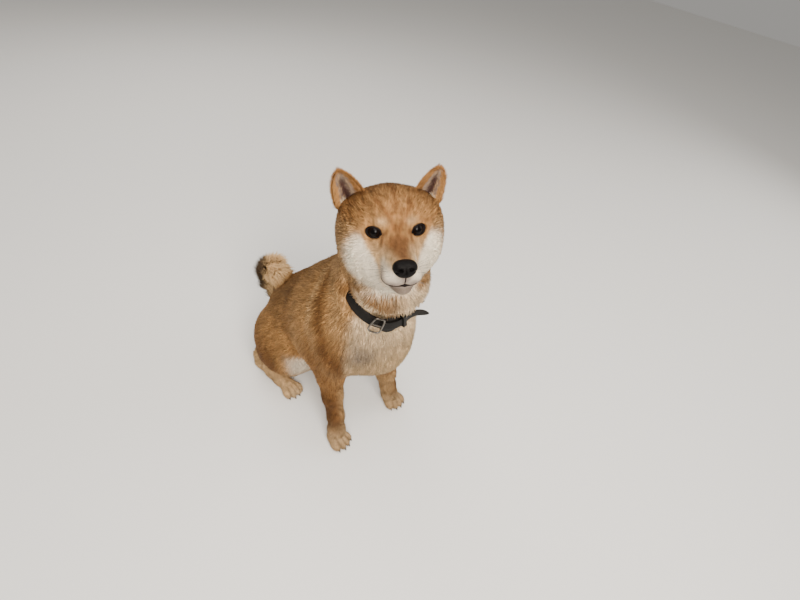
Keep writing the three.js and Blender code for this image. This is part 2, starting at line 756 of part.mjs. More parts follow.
// A paw, in its own frame with the toes toward -Y: a pad with four toes, and a claw in each.
function pawShape(kind) {
  const { length, width, height } = paw[kind];
  const toes = [-1.5, -0.5, 0.5, 1.5].map((n) => ({
    at: [(n * width) / 4.4, -length / 2 + 14 + 5.5 * (Math.abs(n) - 0.5), height * 0.4],
    size: [width / 5.7, 14, height * 0.43],
    turn: 5 * n,
    lean: -6,
  }));
  const pad = { at: [0, 3, height * 0.46], size: [width * 0.41, length * 0.4, height * 0.54] };
  const claws = toes.map((toe) => {
    const a = rad(toe.turn);
    const ahead = (d, drop) => [toe.at[0] + Math.sin(a) * d, toe.at[1] - Math.cos(a) * d, toe.at[2] + drop];
    return [ahead(8.5, 0.5), ahead(13, -1), ahead(16.2, -5)];
  });
  return { toes, pad, claws };
}
function clawSolid(line, grow) {
  const radii = [1, 0.9, 0.35].map((f) => f * clawRadius + grow);
  return tubeOf(line, radii, radii.map((r) => 1.15 * r), 5);
}
function pawSolids(kind, { at, turn }) {
  const shape = pawShape(kind);
  const padAndToes = (grow) =>
    unionOf([ellipsoid(shape.pad, 9, 5, grow), ...shape.toes.map((toe) => ellipsoid(toe, 7, 4, grow))]);
  const frame = new THREE.Matrix4().makeRotationZ(rad(turn)).setPosition(at[0], at[1], 0).elements;
  return {
    solid: padAndToes(0).transform(frame),
    room: padAndToes(2 * gap).transform(frame),
    claws: shape.claws.map((line) => ({
      own: clawSolid(line, 0).transform(frame),
      room: clawSolid(line, gap).transform(frame),
    })),
  };
}

const legs = [];
for (const side of ['right', 'left']) {
  const { line, paw: foot } = foreleg[side];
  const shaft = tubeOf(line, foreleg.across, foreleg.foreAft, 14);
  const feet = pawSolids('front', foot);
  legs.push({ name: `fore`, side, shaft, feet, cutZ: wristCut });
}
for (const [side, s] of [['right', -1], ['left', 1]]) {
  const at = (p) => [s * p[0], ...p.slice(1)];
  const line = hindleg.line.map(at);
  const feet = pawSolids('hind', { at: at(hindleg.paw.at), turn: -s * 4 });
  const shaft = tubeOf(line, hindleg.across, hindleg.foreAft, 12);
  const wider = (radii) => radii.map((r) => r + 2 * gap);
  const room = tubeOf(line, wider(hindleg.across), wider(hindleg.foreAft), 12);
  legs.push({ name: 'hind', side, shaft, feet, room });
}

const headLow = [-130, -230, 400];
const headHigh = [160, 20, 590];
const wholeHead = solidOf(skinOf(wholeField, headLow, headHigh, cell.head));
const cheeks = [1, -1].flatMap((s) => rowsOfLocks(headField, cheekLocks, s)).map((l) => inHead(lockSolid(l)));
let head = unionOf([wholeHead, ...cheeks]).intersect(behind(nape.point, opposite(nape.normal), gap / 2));

let neck = solidOf(skinOf(wholeField, [-120, -220, 260], [150, 90, 520], cell.neck));
neck = neck.intersect(behind(nape.point, nape.normal, gap / 2));
neck = neck.intersect(behind(collarPlane.point, opposite(collarPlane.normal), gap / 2));
neck = neck.subtract(fittingRoom);

let torso = solidOf(skinOf(bodyField, [-150, -200, -14], [160, 220, 480], cell.torso));
const ruffLocks = Object.values(ruff).flatMap((set) => rowsOfLocks(bodyField, set));
torso = unionOf([torso, ...ruffLocks.map((l) => lockSolid(l))]);
torso = torso.intersect(behind(collarPlane.point, collarPlane.normal, gap / 2));
torso = torso.subtract(fittingRoom).intersect(floorUp);

// Forelegs: the shaft joins the elbow, and a level cut parts them.
for (const leg of legs.filter((l) => l.name === 'fore')) {
  const { line } = foreleg[leg.side];
  const drop = (legTop.height - line[1][2]) / (line[0][2] - line[1][2]);
  const top = add(line[1], sub(line[0], line[1]), drop);
  const reach = (grow) => {
    const round = (radii) => radii.slice(1).map((r) => r + legTop.spare + grow);
    const path = [add(top, [0, 0, grow]), ...line.slice(2), add(line.at(-1), [0, 0, -40])];
    return tubeOf(path, [...round(foreleg.across), 26], [...round(foreleg.foreAft), 50], 12);
  };
  const joined = torso.add(leg.shaft);
  const whole = joined.intersect(reach(-gap)).add(leg.feet.solid).intersect(floorUp);
  torso = joined.subtract(reach(0));
  let foot = whole.intersect(behind([0, 0, wristCut], [0, 0, 1], gap));
  const upper = whole.intersect(behind([0, 0, wristCut], [0, 0, -1], 0));
  leg.feet.claws.forEach((c, i) => {
    foot = foot.subtract(c.room);
    addNode(`claw_fore_${leg.side}_${i + 1}`, c.own, clawDark);
  });
  addNode(`foreleg_${leg.side}`, upper, redCoat);
  addNode(`forepaw_${leg.side}`, foot, creamCoat);
}
for (const leg of legs.filter((l) => l.name === 'hind')) {
  const s = leg.side === 'right' ? -1 : 1;
  const end = thighEnds[s > 0 ? 0 : 1];
  const low = s > 0 ? [10, -60, -14] : [-140, -60, -14];
  const skin = solidOf(skinOf(bodyField, low, [low[0] + 130, 210, 240], cell.thigh));
  const clearOf = leg.room.add(leg.feet.room);
  const thigh = skin.intersect(end.own).subtract(clearOf).intersect(floorUp);
  torso = torso.subtract(end.room).subtract(clearOf);
  const toeLine = -12 + hindleg.paw.at[1] + 22;
  const whole = leg.shaft.add(leg.feet.solid).intersect(floorUp);
  let foot = whole.intersect(behind([0, toeLine, 0], [0, 1, 0], gap));
  const upper = whole.intersect(behind([0, toeLine, 0], [0, -1, 0], 0));
  leg.feet.claws.forEach((c, i) => {
    foot = foot.subtract(c.room);
    addNode(`claw_hind_${leg.side}_${i + 1}`, c.own, clawDark);
  });
  addNode(`thigh_${leg.side}`, thigh, redCoat);
  addNode(`hindleg_${leg.side}`, upper, redCoat);
  addNode(`hindpaw_${leg.side}`, foot, creamCoat);
}

// Tail: a core with a brush of locks fanning from it, in three lengths. Each length is
// clear of those before it.
const tailCurve = new THREE.CatmullRomCurve3(tail.line.map((p) => new THREE.Vector3(...p)));
const tailSteps = tail.line.length - 1;
const radiusAt = (radii, k) => {
  const i = Math.min(Math.floor(k), radii.length - 2);
  return radii[i] + (radii[i + 1] - radii[i]) * (k - i);
};
function tailLocks() {
  const { count, from, width: wide, thickness: thick, lift, seed } = tail.locks;
  const random = seeded(seed);
  const locks = Array.from({ length: count }, (_, i) => {
    const t = from + ((0.99 - from) * (i + random())) / count;
    const k = t * tailSteps;
    const along = tailCurve.getTangent(t).toArray();
    const across = unit(cross(along, [1, 0, 0]));
    const turn = i * 2.4 + 0.6 * random();
    const out = add(across.map((v) => v * Math.cos(turn)), cross(along, across), Math.sin(turn));
    const inner = radiusAt(tail.core, k);
    const steep = lift * (0.8 + 0.4 * random());
    const length = ((radiusAt(tail.brush, k) - inner) / Math.sin(rad(steep))) * (0.85 + 0.3 * random());
    const root = add(tailCurve.getPoint(t).toArray(), out, inner - 1.5);
    const sway = 10 * (random() - 0.5);
    return { k, root, along, out, length, width: wide, thickness: thick, lift: steep, sway, sunk: 6 };
  });
  const clear = (lock) => {
    const tip = add(add(lock.root, lock.along, 0.75 * lock.length), lock.out, 0.7 * lock.length);
    return bodyField(...tip) > 3 && bodyField(...lock.root) > 2;
  };
  return locks.filter(clear);
}
const tailSolid = tubeOf(tail.line, tail.core, tail.core, 12);
const tailRoom = tubeOf(tail.line, tail.core.map((r) => r + gap), tail.core.map((r) => r + gap), 12);
torso = torso.subtract(tailRoom);
const allTailLocks = tailLocks();
const tailCuts = [2, 4].map((k) => ({
  point: tail.line[k],
  normal: unit(sub(tail.line[k + 1], tail.line[k - 1])),
}));
let tailBefore;
['base', 'middle', 'tip'].forEach((name, i) => {
  const [start, end] = [tailCuts[i - 1], tailCuts[i]];
  const between = (solid, inset) => {
    const upTo = end ? solid.intersect(behind(end.point, end.normal, inset)) : solid;
    return start ? upTo.intersect(behind(start.point, opposite(start.normal), inset)) : upTo;
  };
  const own = allTailLocks.filter(({ k }) => (!start || k >= 2 * i) && (!end || k < 2 * i + 2));
  const solid = unionOf([between(tailSolid, gap / 2), ...own.map((l) => lockSolid(l))]);
  addNode(`tail_${name}`, tailBefore ? solid.subtract(tailBefore) : solid, redCoat);
  const room = unionOf([between(tailRoom, -gap / 2), ...own.map((l) => lockSolid(l, gap))]);
  tailBefore = tailBefore ? tailBefore.add(room) : room;
});

// Ears: a cupped shell, thicker at the rim, with its root sunk in the skull.
function earSolid(s, grow) {
  const root = [s * ear.root[0], ear.root[1], ear.root[2]];
  const tip = [s * ear.tip[0], ear.tip[1], ear.tip[2]];
  const up = unit(sub(tip, root));
  const height = Math.hypot(...sub(tip, root));
  const facing = unit(cross(cross(up, [s * 0.22, -1, 0.1]), up));
  const wide = cross(up, facing);
  const shares = [0, 0.18, 0.38, 0.58, 0.76, 0.9, 1];
  const steps = [-ear.sunk, ...shares.map((t) => t * height)];
  const rings = steps.map((h, i) => {
    const t = Math.max(0, h / height);
    const half = (ear.width / 2) * (1 - 0.78 * Math.pow(t, 2.4)) + grow;
    const cup = ear.cup * (1 - 0.75 * t);
    const thick = ear.skin * (1 - 0.35 * t) + 5 * grow;
    const level = i === 0 ? h - grow : i === steps.length - 1 ? h + grow : h;
    const centre = add(add(root, up, level), wide, 0);
    const curve = (u, v) => [u, cup * (u * u - 1) + v];
    const back = [-0.96, -0.62, -0.2, 0.2, 0.62, 0.96].map((u) => curve(u, -thick / 2));
    const front = [0.9, 0.56, 0.2, -0.2, -0.56, -0.9].map((u) => curve(u, thick / 2));
    const outline = [...back, [1.04, 0], ...front, [-1.04, 0]];
    return outline.map(([u, v]) => add(add(centre, wide, half * u), facing, v));
  });
  return solidOf(loft(rings, true));
}

// Eyes sit behind an almond opening with a raised lid round it.
for (const [side, s] of [['right', -1], ['left', 1]]) {
  const at = [s * eye.at[0], eye.at[1], eye.at[2]];
  const outward = unit([s * 0.42, -1, 0.12]);
  const across = unit(cross([0, 0, 1], outward));
  const upward = cross(outward, across);
  const tilt = rad(s * eye.slant);
  const almond = (i, wide, high) => {
    const a = (-2 * Math.PI * i) / 14;
    const u = (wide / 2) * Math.cos(a);
    const v = (high / 2) * Math.sin(a) * (1 - 0.25 * Math.cos(a) ** 4);
    const [p, q] = [u * Math.cos(tilt) - v * Math.sin(tilt), u * Math.sin(tilt) + v * Math.cos(tilt)];
    return add(add(at, across, p), upward, q);
  };
  const slit = (depth, grow) =>
    Array.from({ length: 14 }, (_, i) => add(almond(i, eye.width + grow, eye.height + grow), outward, depth));
  const opening = solidOf(loft([slit(0, 0), slit(30, 8)]));
  const lidLine = Array.from({ length: 14 }, (_, i) =>
    leave(headField, add(almond(i, eye.width + 2.4, eye.height + 2.4), outward, 6), outward),
  );
  const lid = solidOf(
    hoop(
      lidLine.map((p, i) => {
        const away = unit(sub(p, leave(headField, add(at, outward, 6), outward)));
        return [0, 1, 2, 3].map((j) => {
          const a = (2 * Math.PI * j) / 4;
          return add(add(p, away, lidWidth * Math.cos(a)), outward, lidWidth * Math.sin(a));
        });
      }),
    ),
  );
  const ballRoom = ellipsoid({ at, size: [1, 1, 1].map(() => eye.radius + gap) }, 14, 8);
  const globe = ellipsoid({ at, size: [1, 1, 1].map(() => eye.radius) }, 14, 8);
  head = head.add(inHead(lid)).subtract(inHead(opening)).subtract(inHead(ballRoom));
  addNode(`eye_${side}`, inHead(globe), eyeDark);
  head = head.subtract(inHead(earSolid(s, gap)));
  addNode(`ear_${side}`, inHead(earSolid(s, 0)), redCoat);
}

// The mouth is a groove with the lower lip just under it.
const mouthCurve = new THREE.CatmullRomCurve3([
  ...mouth.line.slice(1).reverse().map((p) => new THREE.Vector3(-p[0], p[1], p[2])),
  ...mouth.line.slice(1).map((p) => new THREE.Vector3(...p)),
]);
const onMuzzle = (p, drop, sink) => {
  const outward = unit([p.x, p.y + 60, 0]);
  return add(leave(headField, [p.x * 0.6, p.y * 0.6 - 24, p.z - drop], outward), outward, -sink);
};
const mouthPath = (drop, sink) => mouthCurve.getPoints(12).map((p) => onMuzzle(p, drop, sink));
const mouthTube = (path, radius) => {
  const radii = path.map((_, i) => radius * (i === 0 || i === path.length - 1 ? 0.4 : 1));
  return inHead(tubeOf(path, radii, radii, 5, [0, 0, 1]));
};
const underNose = [-24, -28, -32, -36].map((z) => onMuzzle(new THREE.Vector3(0, -100, z), 0, 0));
const philtrum = mouthTube(underNose, 0.9);
head = head.add(mouthTube(mouthPath(3, 0.8), mouth.lip));
head = head.subtract(mouthTube(mouthPath(0, 0), mouth.cut)).subtract(philtrum);
const noseShape = (grow) => {
  const size = [nose.width / 2, nose.depth / 2, nose.height / 2];
  return ellipsoid({ at: nose.at, size, lean: -12 }, 14, 8, grow);
};
const nostrils = [-1, 1].map((s) =>
  ellipsoid({ at: [s * 7.2, nose.at[1] - 9, nose.at[2] - 1], size: [3.2, 5, 2.6], turn: s * 30 }, 7, 5),
);
head = head.subtract(inHead(noseShape(gap)));
addNode('nose', inHead(nostrils.reduce((n, hole) => n.subtract(hole), noseShape(0))), noseDark);

addNode('head', head, redCoat);
addNode('neck', neck, redCoat);
addNode('torso', torso, redCoat);
addNode('collar_strap', strap, leather);
for (const [name, [shape, material]] of Object.entries(fitted)) addNode(name, shape(0), material);

const group = new THREE.Group();
const bounds = new THREE.Box3();
for (const node of placed) bounds.expandByObject(node);
const shift = bounds.getCenter(new THREE.Vector3()).setZ(bounds.min.z).negate();
for (const node of placed) {
  node.geometry.translate(shift.x, shift.y, shift.z);
  group.add(node);
}

export default group;
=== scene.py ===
import math
import time

import bmesh
import bpy
import numpy as np
from mathutils import Matrix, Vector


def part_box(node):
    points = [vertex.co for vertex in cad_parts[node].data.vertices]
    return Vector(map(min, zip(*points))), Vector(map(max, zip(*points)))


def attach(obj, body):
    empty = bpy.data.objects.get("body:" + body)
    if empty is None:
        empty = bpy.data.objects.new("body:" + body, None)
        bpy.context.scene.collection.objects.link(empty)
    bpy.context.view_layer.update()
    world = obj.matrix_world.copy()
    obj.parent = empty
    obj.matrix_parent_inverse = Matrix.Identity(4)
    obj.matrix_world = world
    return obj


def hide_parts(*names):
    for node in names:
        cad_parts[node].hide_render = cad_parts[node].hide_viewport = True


# A sitting shiba inu with a leather collar. Shapes are worked out in millimetres in the maker's own
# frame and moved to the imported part's frame, in metres, when a mesh is made.

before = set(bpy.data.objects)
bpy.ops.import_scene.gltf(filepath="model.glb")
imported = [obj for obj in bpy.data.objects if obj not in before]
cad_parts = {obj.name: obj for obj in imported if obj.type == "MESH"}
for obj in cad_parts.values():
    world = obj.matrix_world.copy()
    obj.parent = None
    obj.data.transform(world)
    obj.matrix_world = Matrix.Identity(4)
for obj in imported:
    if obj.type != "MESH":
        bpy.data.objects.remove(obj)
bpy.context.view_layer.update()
startTime = time.time()


# Prints a stage and the seconds since the start.
def report(stage):
    print(f"{stage}: {time.time() - startTime:.0f} s")


# Vectors brought to length 1.
def unit(v):
    v = np.asarray(v, float)
    return v / np.maximum(np.linalg.norm(v, axis=-1, keepdims=True), 1e-9)


# 0 up to low, 1 from high on, and 3tt - 2ttt between them.
def smoothstep(low, high, x):
    t = np.clip((x - low) / (high - low), 0, 1)
    return t * t * (3 - 2 * t)


# A bell curve, exp(-dd), where d is the distance of each value from its middle over its width.
def bell(*parts):
    return np.exp(-sum(((value - middle) / width) ** 2 for value, middle, width in parts))


# True where a value lies between two limits.
def between(value, low, high):
    return (value > low) & (value < high)


# The matrix that turns by an angle in degrees about one axis.
def turned(axis, angle):
    c, s = math.cos(math.radians(angle)), math.sin(math.radians(angle))
    u = ("xyz".index(axis) + 1) % 3
    v = (u + 1) % 3
    matrix = np.eye(3)
    matrix[u, u] = matrix[v, v] = c
    matrix[u, v], matrix[v, u] = -s, s
    return matrix


headPose = {"at": np.array([10.5, -97.6, 497.0]), "yaw": -32.5, "pitch": 19, "roll": -4}
headTurn = turned("z", headPose["yaw"]) @ turned("x", -headPose["pitch"]) @ turned("y", headPose["roll"])
eyeShape = {"at": (27.2, -38.6, 15.2), "radius": 10.6, "width": 19.5, "height": 11.8, "slant": 9}
sides = {"right": -1, "left": 1}


# From the head's own frame, where -y is the way that it looks, to the maker's: turned, then moved.
def fromHead(points):
    return np.asarray(points, float) @ headTurn.T + headPose["at"]


# From the maker's frame to the head's: moved back, then turned back.
def toHead(points):
    return (np.asarray(points, float) - headPose["at"]) @ headTurn


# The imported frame's origin against the maker's: read from where the right eye is.
eyeLow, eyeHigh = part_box("eye_right")
eyeWanted = fromHead([-eyeShape["at"][0], eyeShape["at"][1], eyeShape["at"][2]])
frameShift = np.array((eyeLow + eyeHigh) / 2) * 1000 - eyeWanted


# From the maker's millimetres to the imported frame's metres.
def toFrame(points):
    return (np.asarray(points, float) + frameShift) / 1000


# Shapes as distances, negative inside.


# An ellipsoid: the scaled distance k(k - 1) over the length of its gradient.
def ball(points, at, size, lean=0, turn=0):
    local = (points - np.array(at, np.float32)) @ (turned("z", turn) @ turned("x", lean)).astype(np.float32)
    size = np.array(size, np.float32)
    near = np.sqrt(((local / size) ** 2).sum(-1))
    steep = np.sqrt(((local / size**2) ** 2).sum(-1))
    return near * (near - 1) / np.maximum(steep, 1e-6)


# A round cone: distance to the line less a radius that changes evenly along it.
def taper(points, start, end, startRadius, endRadius):
    start, end = np.array(start, np.float32), np.array(end, np.float32)
    along = end - start
    t = np.clip((points - start) @ along / (along @ along), 0, 1)
    middle = start + t[:, None] * along
    return np.sqrt(((points - middle) ** 2).sum(-1)) - (startRadius + (endRadius - startRadius) * t)


# Rounded union of two distances over the width k.
def soft(a, b, k):
    h = np.maximum(k - np.abs(a - b), 0)
    return np.minimum(a, b) - h * h / (4 * k)


# Several distances joined one after the other over the width k.
def blend(k, distances):
    whole = distances[0]
    for d in distances[1:]:
        whole = soft(whole, d, k)
    return whole


# Round cones from point to point of a line, joined over the width k.
def chain(points, line, radii, k=10):
    parts = [taper(points, line[i], line[i + 1], radii[i], radii[i + 1]) for i in range(len(line) - 1)]
    return blend(k, parts)


# The dog's body.

trunk = [
    {"at": (-1, 103, 86), "size": (94, 77, 90)},
    {"at": (-3, 82, 177), "size": (88, 84, 98), "lean": 22},
    {"at": (2, 10, 246), "size": (88, 92, 105), "lean": 30},
    {"at": (22, -72, 252), "size": (74, 62, 88), "lean": 12, "turn": -18},
    {"at": (27, -85, 211), "size": (53, 46, 43), "turn": -18},
    {"at": (14, -17, 310), "size": (60, 60, 58)},
]
shoulders = [
    {"at": (-40, -28, 256), "size": (46, 58, 80), "lean": 8},
    {"at": (66, -60, 256), "size": (46, 58, 80), "lean": 8},
]
neckLine = [((19, -46, 326), 75), ((20, -88, 402), 72), ((11, -94, 455), 64)]
forelegs = {
    "right": [(-50, -50, 196), (-53, -58, 160), (-59, -76, 112),
              (-63, -94, 66), (-67, -103, 34), (-69, -108, 18)],
    "left": [(50, -88, 196), (53, -92, 160), (60, -98, 112), (69, -101, 66), (75, -104, 34), (79, -106, 18)],
}
forelegRadius = [31, 26.5, 21, 17.7, 17.5, 17.5]
hindleg = {
    "line": [(86, 106, 82), (92, 130, 56), (93, 134, 27), (89, 102, 18), (86, 76, 16), (83, 56, 15)],
    "radius": [21, 20.5, 18.5, 15.7, 15, 14.5],
}
paws = [
    {"at": (-71, -113), "turn": 10, "length": 56, "width": 44, "height": 27},
    {"at": (82, -110), "turn": -6, "length": 56, "width": 44, "height": 27},
    {"at": (-81, 48), "turn": 4, "length": 56, "width": 42, "height": 25},
    {"at": (81, 48), "turn": -4, "length": 56, "width": 42, "height": 25},
]
# widths in millimetres over which parts run into each other
joins = {
    "trunk": 44, "shoulders": 40, "neck": 20, "torso": 30, "thigh": 26, "thighs": 10, "foreleg": 8, "foot": 6,
    "toes": 2.5, "pad": 6, "skull": 24, "snout": 9, "face": 20, "head": 18, "tailBend": 12, "tail": 10,
}
toesAcross = 4.4  # the toes' spacing is the paw's width over this
tail = {
    "line": [(-6, 144, 134), (-12, 174, 154), (-19, 191, 186), (-26, 189, 220),
             (-31, 170, 245), (-34, 145, 253), (-34, 124, 245)],
    "radius": [20, 19, 19, 19, 18, 15, 7],
    "sunk": 6,
}
thigh = {
    "haunch": {"at": (64, 92, 114), "size": (52, 74, 76), "lean": -14},
    "upper": ((66, 76, 112), (64, 40, 150), 46, 29),  # start, end and the radius at each
    "lower": ((64, 40, 150), (88, 128, 56), 27, 18),
}
collar = {
    "at": np.array([28, -76, 371.0]),
    "across": 62,
    "foreAft": 70,
    "slope": 40,
    "flare": 50,
}
skull = {
    "brain": {"at": (0, 6, 11), "size": (63, 55, 56)},
    "brow": {"at": (0, -18, 27), "size": (45, 28, 32)},
    "cheek": {"at": (41, -2, -18), "size": (34, 42, 39)},
    "temple": {"at": (40, 2, 15), "size": (30, 37, 37)},
    "flew": {"at": (13, -77, -31), "size": (14, 20, 13), "turn": 14},
    "jaw": {"at": (0, -16, -46), "size": (38, 52, 26)},
}
muzzle = {
    "bridge": ((0, -40, -22), (0, -88, -20), 28, 19),
    "chin": ((0, -36, -42), (0, -86, -43), 25, 13.5),
}
mouthLine = [(0, -105, -38.5), (5, -104, -39), (12, -98, -40.5), (20, -86, -40), (27, -74, -34)]
noseShape = {"at": np.array([0, -100, -14.0]), "size": np.array([33, 20, 24]), "lean": -12}
ear = {"root": (52, 2, 38), "tip": (69, -3, 88), "width": 50, "cup": 13}


# A part of the head's right half from its left one.
def mirrored(shape):
    x, y, z = shape["at"]
    return {**shape, "at": (-x, y, z), "turn": -shape.get("turn", 0)}


# The skull's ellipsoids joined over a wide band and the muzzle's cones over a narrow one, then both together.
def headDistance(local):
    crown = [ball(local, **skull[n]) for n in ("brain", "brow", "jaw", "cheek")]
    crown += [ball(local, **mirrored(skull["cheek"])), ball(local, **skull["temple"])]
    crown += [ball(local, **mirrored(skull["temple"]))]
    snout = [taper(local, *muzzle[n]) for n in ("bridge", "chin")]
    snout += [ball(local, **skull["flew"]), ball(local, **mirrored(skull["flew"]))]
    return soft(blend(joins["skull"], crown), blend(joins["snout"], snout), joins["face"])


# A haunch and two round cones, joined; s is -1 on the dog's right and 1 on its left.
def thighDistance(points, s):
    flip = np.array([s, 1, 1])
    haunch = thigh["haunch"]
    parts = [ball(points, flip * haunch["at"], haunch["size"], haunch["lean"])]
    for start, end, startRadius, endRadius in (thigh["upper"], thigh["lower"]):
        parts.append(taper(points, flip * start, flip * end, startRadius, endRadius))
    return blend(joins["thigh"], parts)


# A pad and four toes, joined over a narrow width so that the toes stay apart.
def pawDistance(points, paw):
    local = (points - np.array([*paw["at"], 0], np.float32)) @ turned("z", paw["turn"]).astype(np.float32)
    length, width, height = paw["length"], paw["width"], paw["height"]
    pad = ball(local, (0, 3, height * 0.46), (width * 0.41, length * 0.4, height * 0.54))
    toes = []
    for n in (-1.5, -0.5, 0.5, 1.5):
        at = (n * width / toesAcross, -length / 2 + 14 + 5.5 * (abs(n) - 0.5), height * 0.4)
        toes.append(ball(local, at, (width / 5.7 + 0.9, 15, height * 0.46), -6, 5 * n))
    return soft(blend(joins["toes"], toes), pad, joins["pad"])


# Trunk and shoulders first, then neck, thighs, legs and paws, each joined on over its own width.
def bodyDistance(points):
    arms = [ball(points, **s) for s in shoulders]
    for line in forelegs.values():
        top = (line[0][0], line[0][1] + 6, line[0][2] + 10)
        arms.append(taper(points, top, line[1], 34, 26))
    body = blend(joins["trunk"], [ball(points, **t) for t in trunk])
    whole = soft(body, blend(joins["shoulders"], arms), joins["trunk"])
    neck = chain(points, [n[0] for n in neckLine], [n[1] for n in neckLine], joins["neck"])
    whole = soft(whole, neck, joins["torso"])
    thighs = soft(thighDistance(points, 1), thighDistance(points, -1), joins["thighs"])
    whole = soft(whole, thighs, joins["torso"])
    for line in forelegs.values():
        whole = soft(whole, chain(points, line, forelegRadius), joins["foreleg"])
    for s in (1, -1):
        line = [(s * x, y, z) for x, y, z in hindleg["line"]]
        whole = soft(whole, chain(points, line, hindleg["radius"]), joins["foot"])
    for paw in paws:
        whole = soft(whole, pawDistance(points, paw), joins["foot"])
    return whole


# The tail's flesh, without its brush.
def tailDistance(points):
    return chain(points, tail["line"], tail["radius"], joins["tailBend"])


coatDepths = {  # in millimetres
    "body": 5.6, "moreOnChest": 2.5, "foreleg": 2.6, "hindleg": 2.8, "paw": 1.6,
    "crown": 2.5, "moreOnCheek": 1.0, "moreOnNape": 2.5, "face": 1.5, "muzzle": 0.9, "moreUnderJaw": 1.5,
    "floor": 1.2,
}


# How far the skin lies inside the coat's tips, in millimetres, from where a point is.
def coatDepth(points, local):
    depth = np.full(len(points), coatDepths["body"], np.float32)
    chest = smoothstep(-20, -70, points[:, 1]) * smoothstep(170, 220, points[:, 2])
    depth += coatDepths["moreOnChest"] * chest
    legLow = 1 - smoothstep(110, 190, points[:, 2])
    front = smoothstep(-20, -50, points[:, 1])
    depth += (coatDepths["foreleg"] - depth) * legLow * front
    hindLow = 1 - smoothstep(48, 74, points[:, 2])
    outward = smoothstep(62, 78, np.abs(points[:, 0]))
    depth += (coatDepths["hindleg"] - depth) * hindLow * outward * (1 - front)
    pawLow = 1 - smoothstep(26, 50, points[:, 2])
    rump = (np.abs(points[:, 0]) < 62) & (points[:, 1] > 20)
    depth += (coatDepths["paw"] - depth) * pawLow * ~rump
    # head: long at the cheeks and nape, short on the crown, shortest on the muzzle
    x, y, z = np.abs(local[:, 0]), local[:, 1], local[:, 2]
    onHead = smoothstep(-78, -60, z) * (np.linalg.norm(local, axis=1) < 140)
    crown = coatDepths["crown"] + coatDepths["moreOnCheek"] * smoothstep(30, 62, x) * smoothstep(10, -20, z)
    crown = crown + coatDepths["moreOnNape"] * smoothstep(0, 45, y)
    face = crown + (coatDepths["face"] - crown) * smoothstep(-14, -44, y)
    face = face + (coatDepths["muzzle"] - face) * smoothstep(-60, -84, y)
    under = smoothstep(-50, -62, z) * smoothstep(-84, -60, y)
    face = face + coatDepths["moreUnderJaw"] * under
    return depth + (face - depth) * onHead


# The body's and head's distance moved inwards by the coat's depth, with the tail's core joined on.
def plainSkin(points):
    points = np.asarray(points, np.float32)
    local = toHead(points).astype(np.float32)
    whole = soft(bodyDistance(points), headDistance(local), joins["head"])
    whole = whole + coatDepth(points, local)
    whole = soft(whole, tailDistance(points) + tail["sunk"], joins["tail"])
    near = np.nonzero(between(points[:, 2], 290, 450) & (points[:, 1] < 10))[0]
    if len(near):
        angle, out, up, _ = toStrap(points[near])
        groove = (out + 6.5 - strapLimit(angle, up, 0.7)) * (np.abs(up) < 60) - 60 * (np.abs(up) >= 60)
        whole[near] = -soft(-whole[near], -groove, 4)
    return np.maximum(whole, coatDepths["floor"] - points[:, 2])


# Distance to the coat's tips, without the tail.
def coatDistance(points):
    points = np.asarray(points, np.float32)
    local = toHead(points).astype(np.float32)
    return soft(bodyDistance(points), headDistance(local), joins["head"])


# The collar's own frame: angle 0 at the throat, growing to the dog's right.

slopeAngle = math.radians(collar["slope"])
strapForward = np.array([0, -math.cos(slopeAngle), -math.sin(slopeAngle)])
strapUp = np.array([0, -math.sin(slopeAngle), math.cos(slopeAngle)])


# The strap's middle, its way out and its way up at angles in radians; the lower edge stands out in front.
def strapAxes(a):
    s, c = np.sin(a)[..., None], np.cos(a)[..., None]
    side = np.array([1.0, 0, 0])
    centre = collar["at"] - s * collar["across"] * side + c * collar["foreAft"] * strapForward
    level = unit(-s / collar["across"] * side + c / collar["foreAft"] * strapForward)
    flare = math.radians(collar["flare"]) * (0.5 + 0.5 * c)
    outward = level * np.cos(flare) + strapUp * np.sin(flare)
    edge = strapUp * np.cos(flare) - level * np.sin(flare)
    return centre, outward, edge


# Places from an angle in degrees and the distances out from the strap's middle and up across it.
def strapPlace(angle, out, up):
    angle, out, up = np.broadcast_arrays(np.asarray(angle, float), out, up)
    centre, outward, edge = strapAxes(np.radians(angle))
    return centre + outward * out[..., None] + edge * up[..., None]


# Angle, out and up of points near the strap, and the way out there.
def toStrap(points):
    rel = points - collar["at"]
    a = np.arctan2(-rel[:, 0] / collar["across"], rel @ strapForward / collar["foreAft"])
    centre, outward, edge = strapAxes(a)
    gap = points - centre
    return np.degrees(a), (gap * outward).sum(-1), (gap * edge).sum(-1), outward


shownStrap = {"from": -64, "to": 92, "soft": 26, "low": -22, "high": 56}  # in degrees round the neck


# How far out the coat may stand by the strap: under it along the band, rising above and below, and free
# where the coat hides the strap.
def strapLimit(angle, up, slope):
    share = smoothstep(shownStrap["from"] - 14, shownStrap["from"], angle)
    share = share * smoothstep(shownStrap["to"] + shownStrap["soft"], shownStrap["to"], angle - 0.6 * up)
    half = 9.3 + 5.7 * smoothstep(shownStrap["low"], 0, angle) * smoothstep(shownStrap["high"], 44, angle)
    behind = smoothstep(46, 92, angle)
    return np.maximum(np.abs(up + 2.5 * behind) - half + 5 * behind, 0) * slope + 40 * (1 - share)


# The eye's middle, its two axes along and across the almond, and the way out.
def eyeAxes(s):
    outward = unit([s * 0.42, -1, 0.12])
    across = unit(np.cross([0, 0, 1], outward))
    upward = np.cross(outward, across)
    tilt = math.radians(s * eyeShape["slant"])
    along = across * math.cos(tilt) + upward * math.sin(tilt)
    over = upward * math.cos(tilt) - across * math.sin(tilt)
    return np.array([s * eyeShape["at"][0], *eyeShape["at"][1:]]), along, over, outward


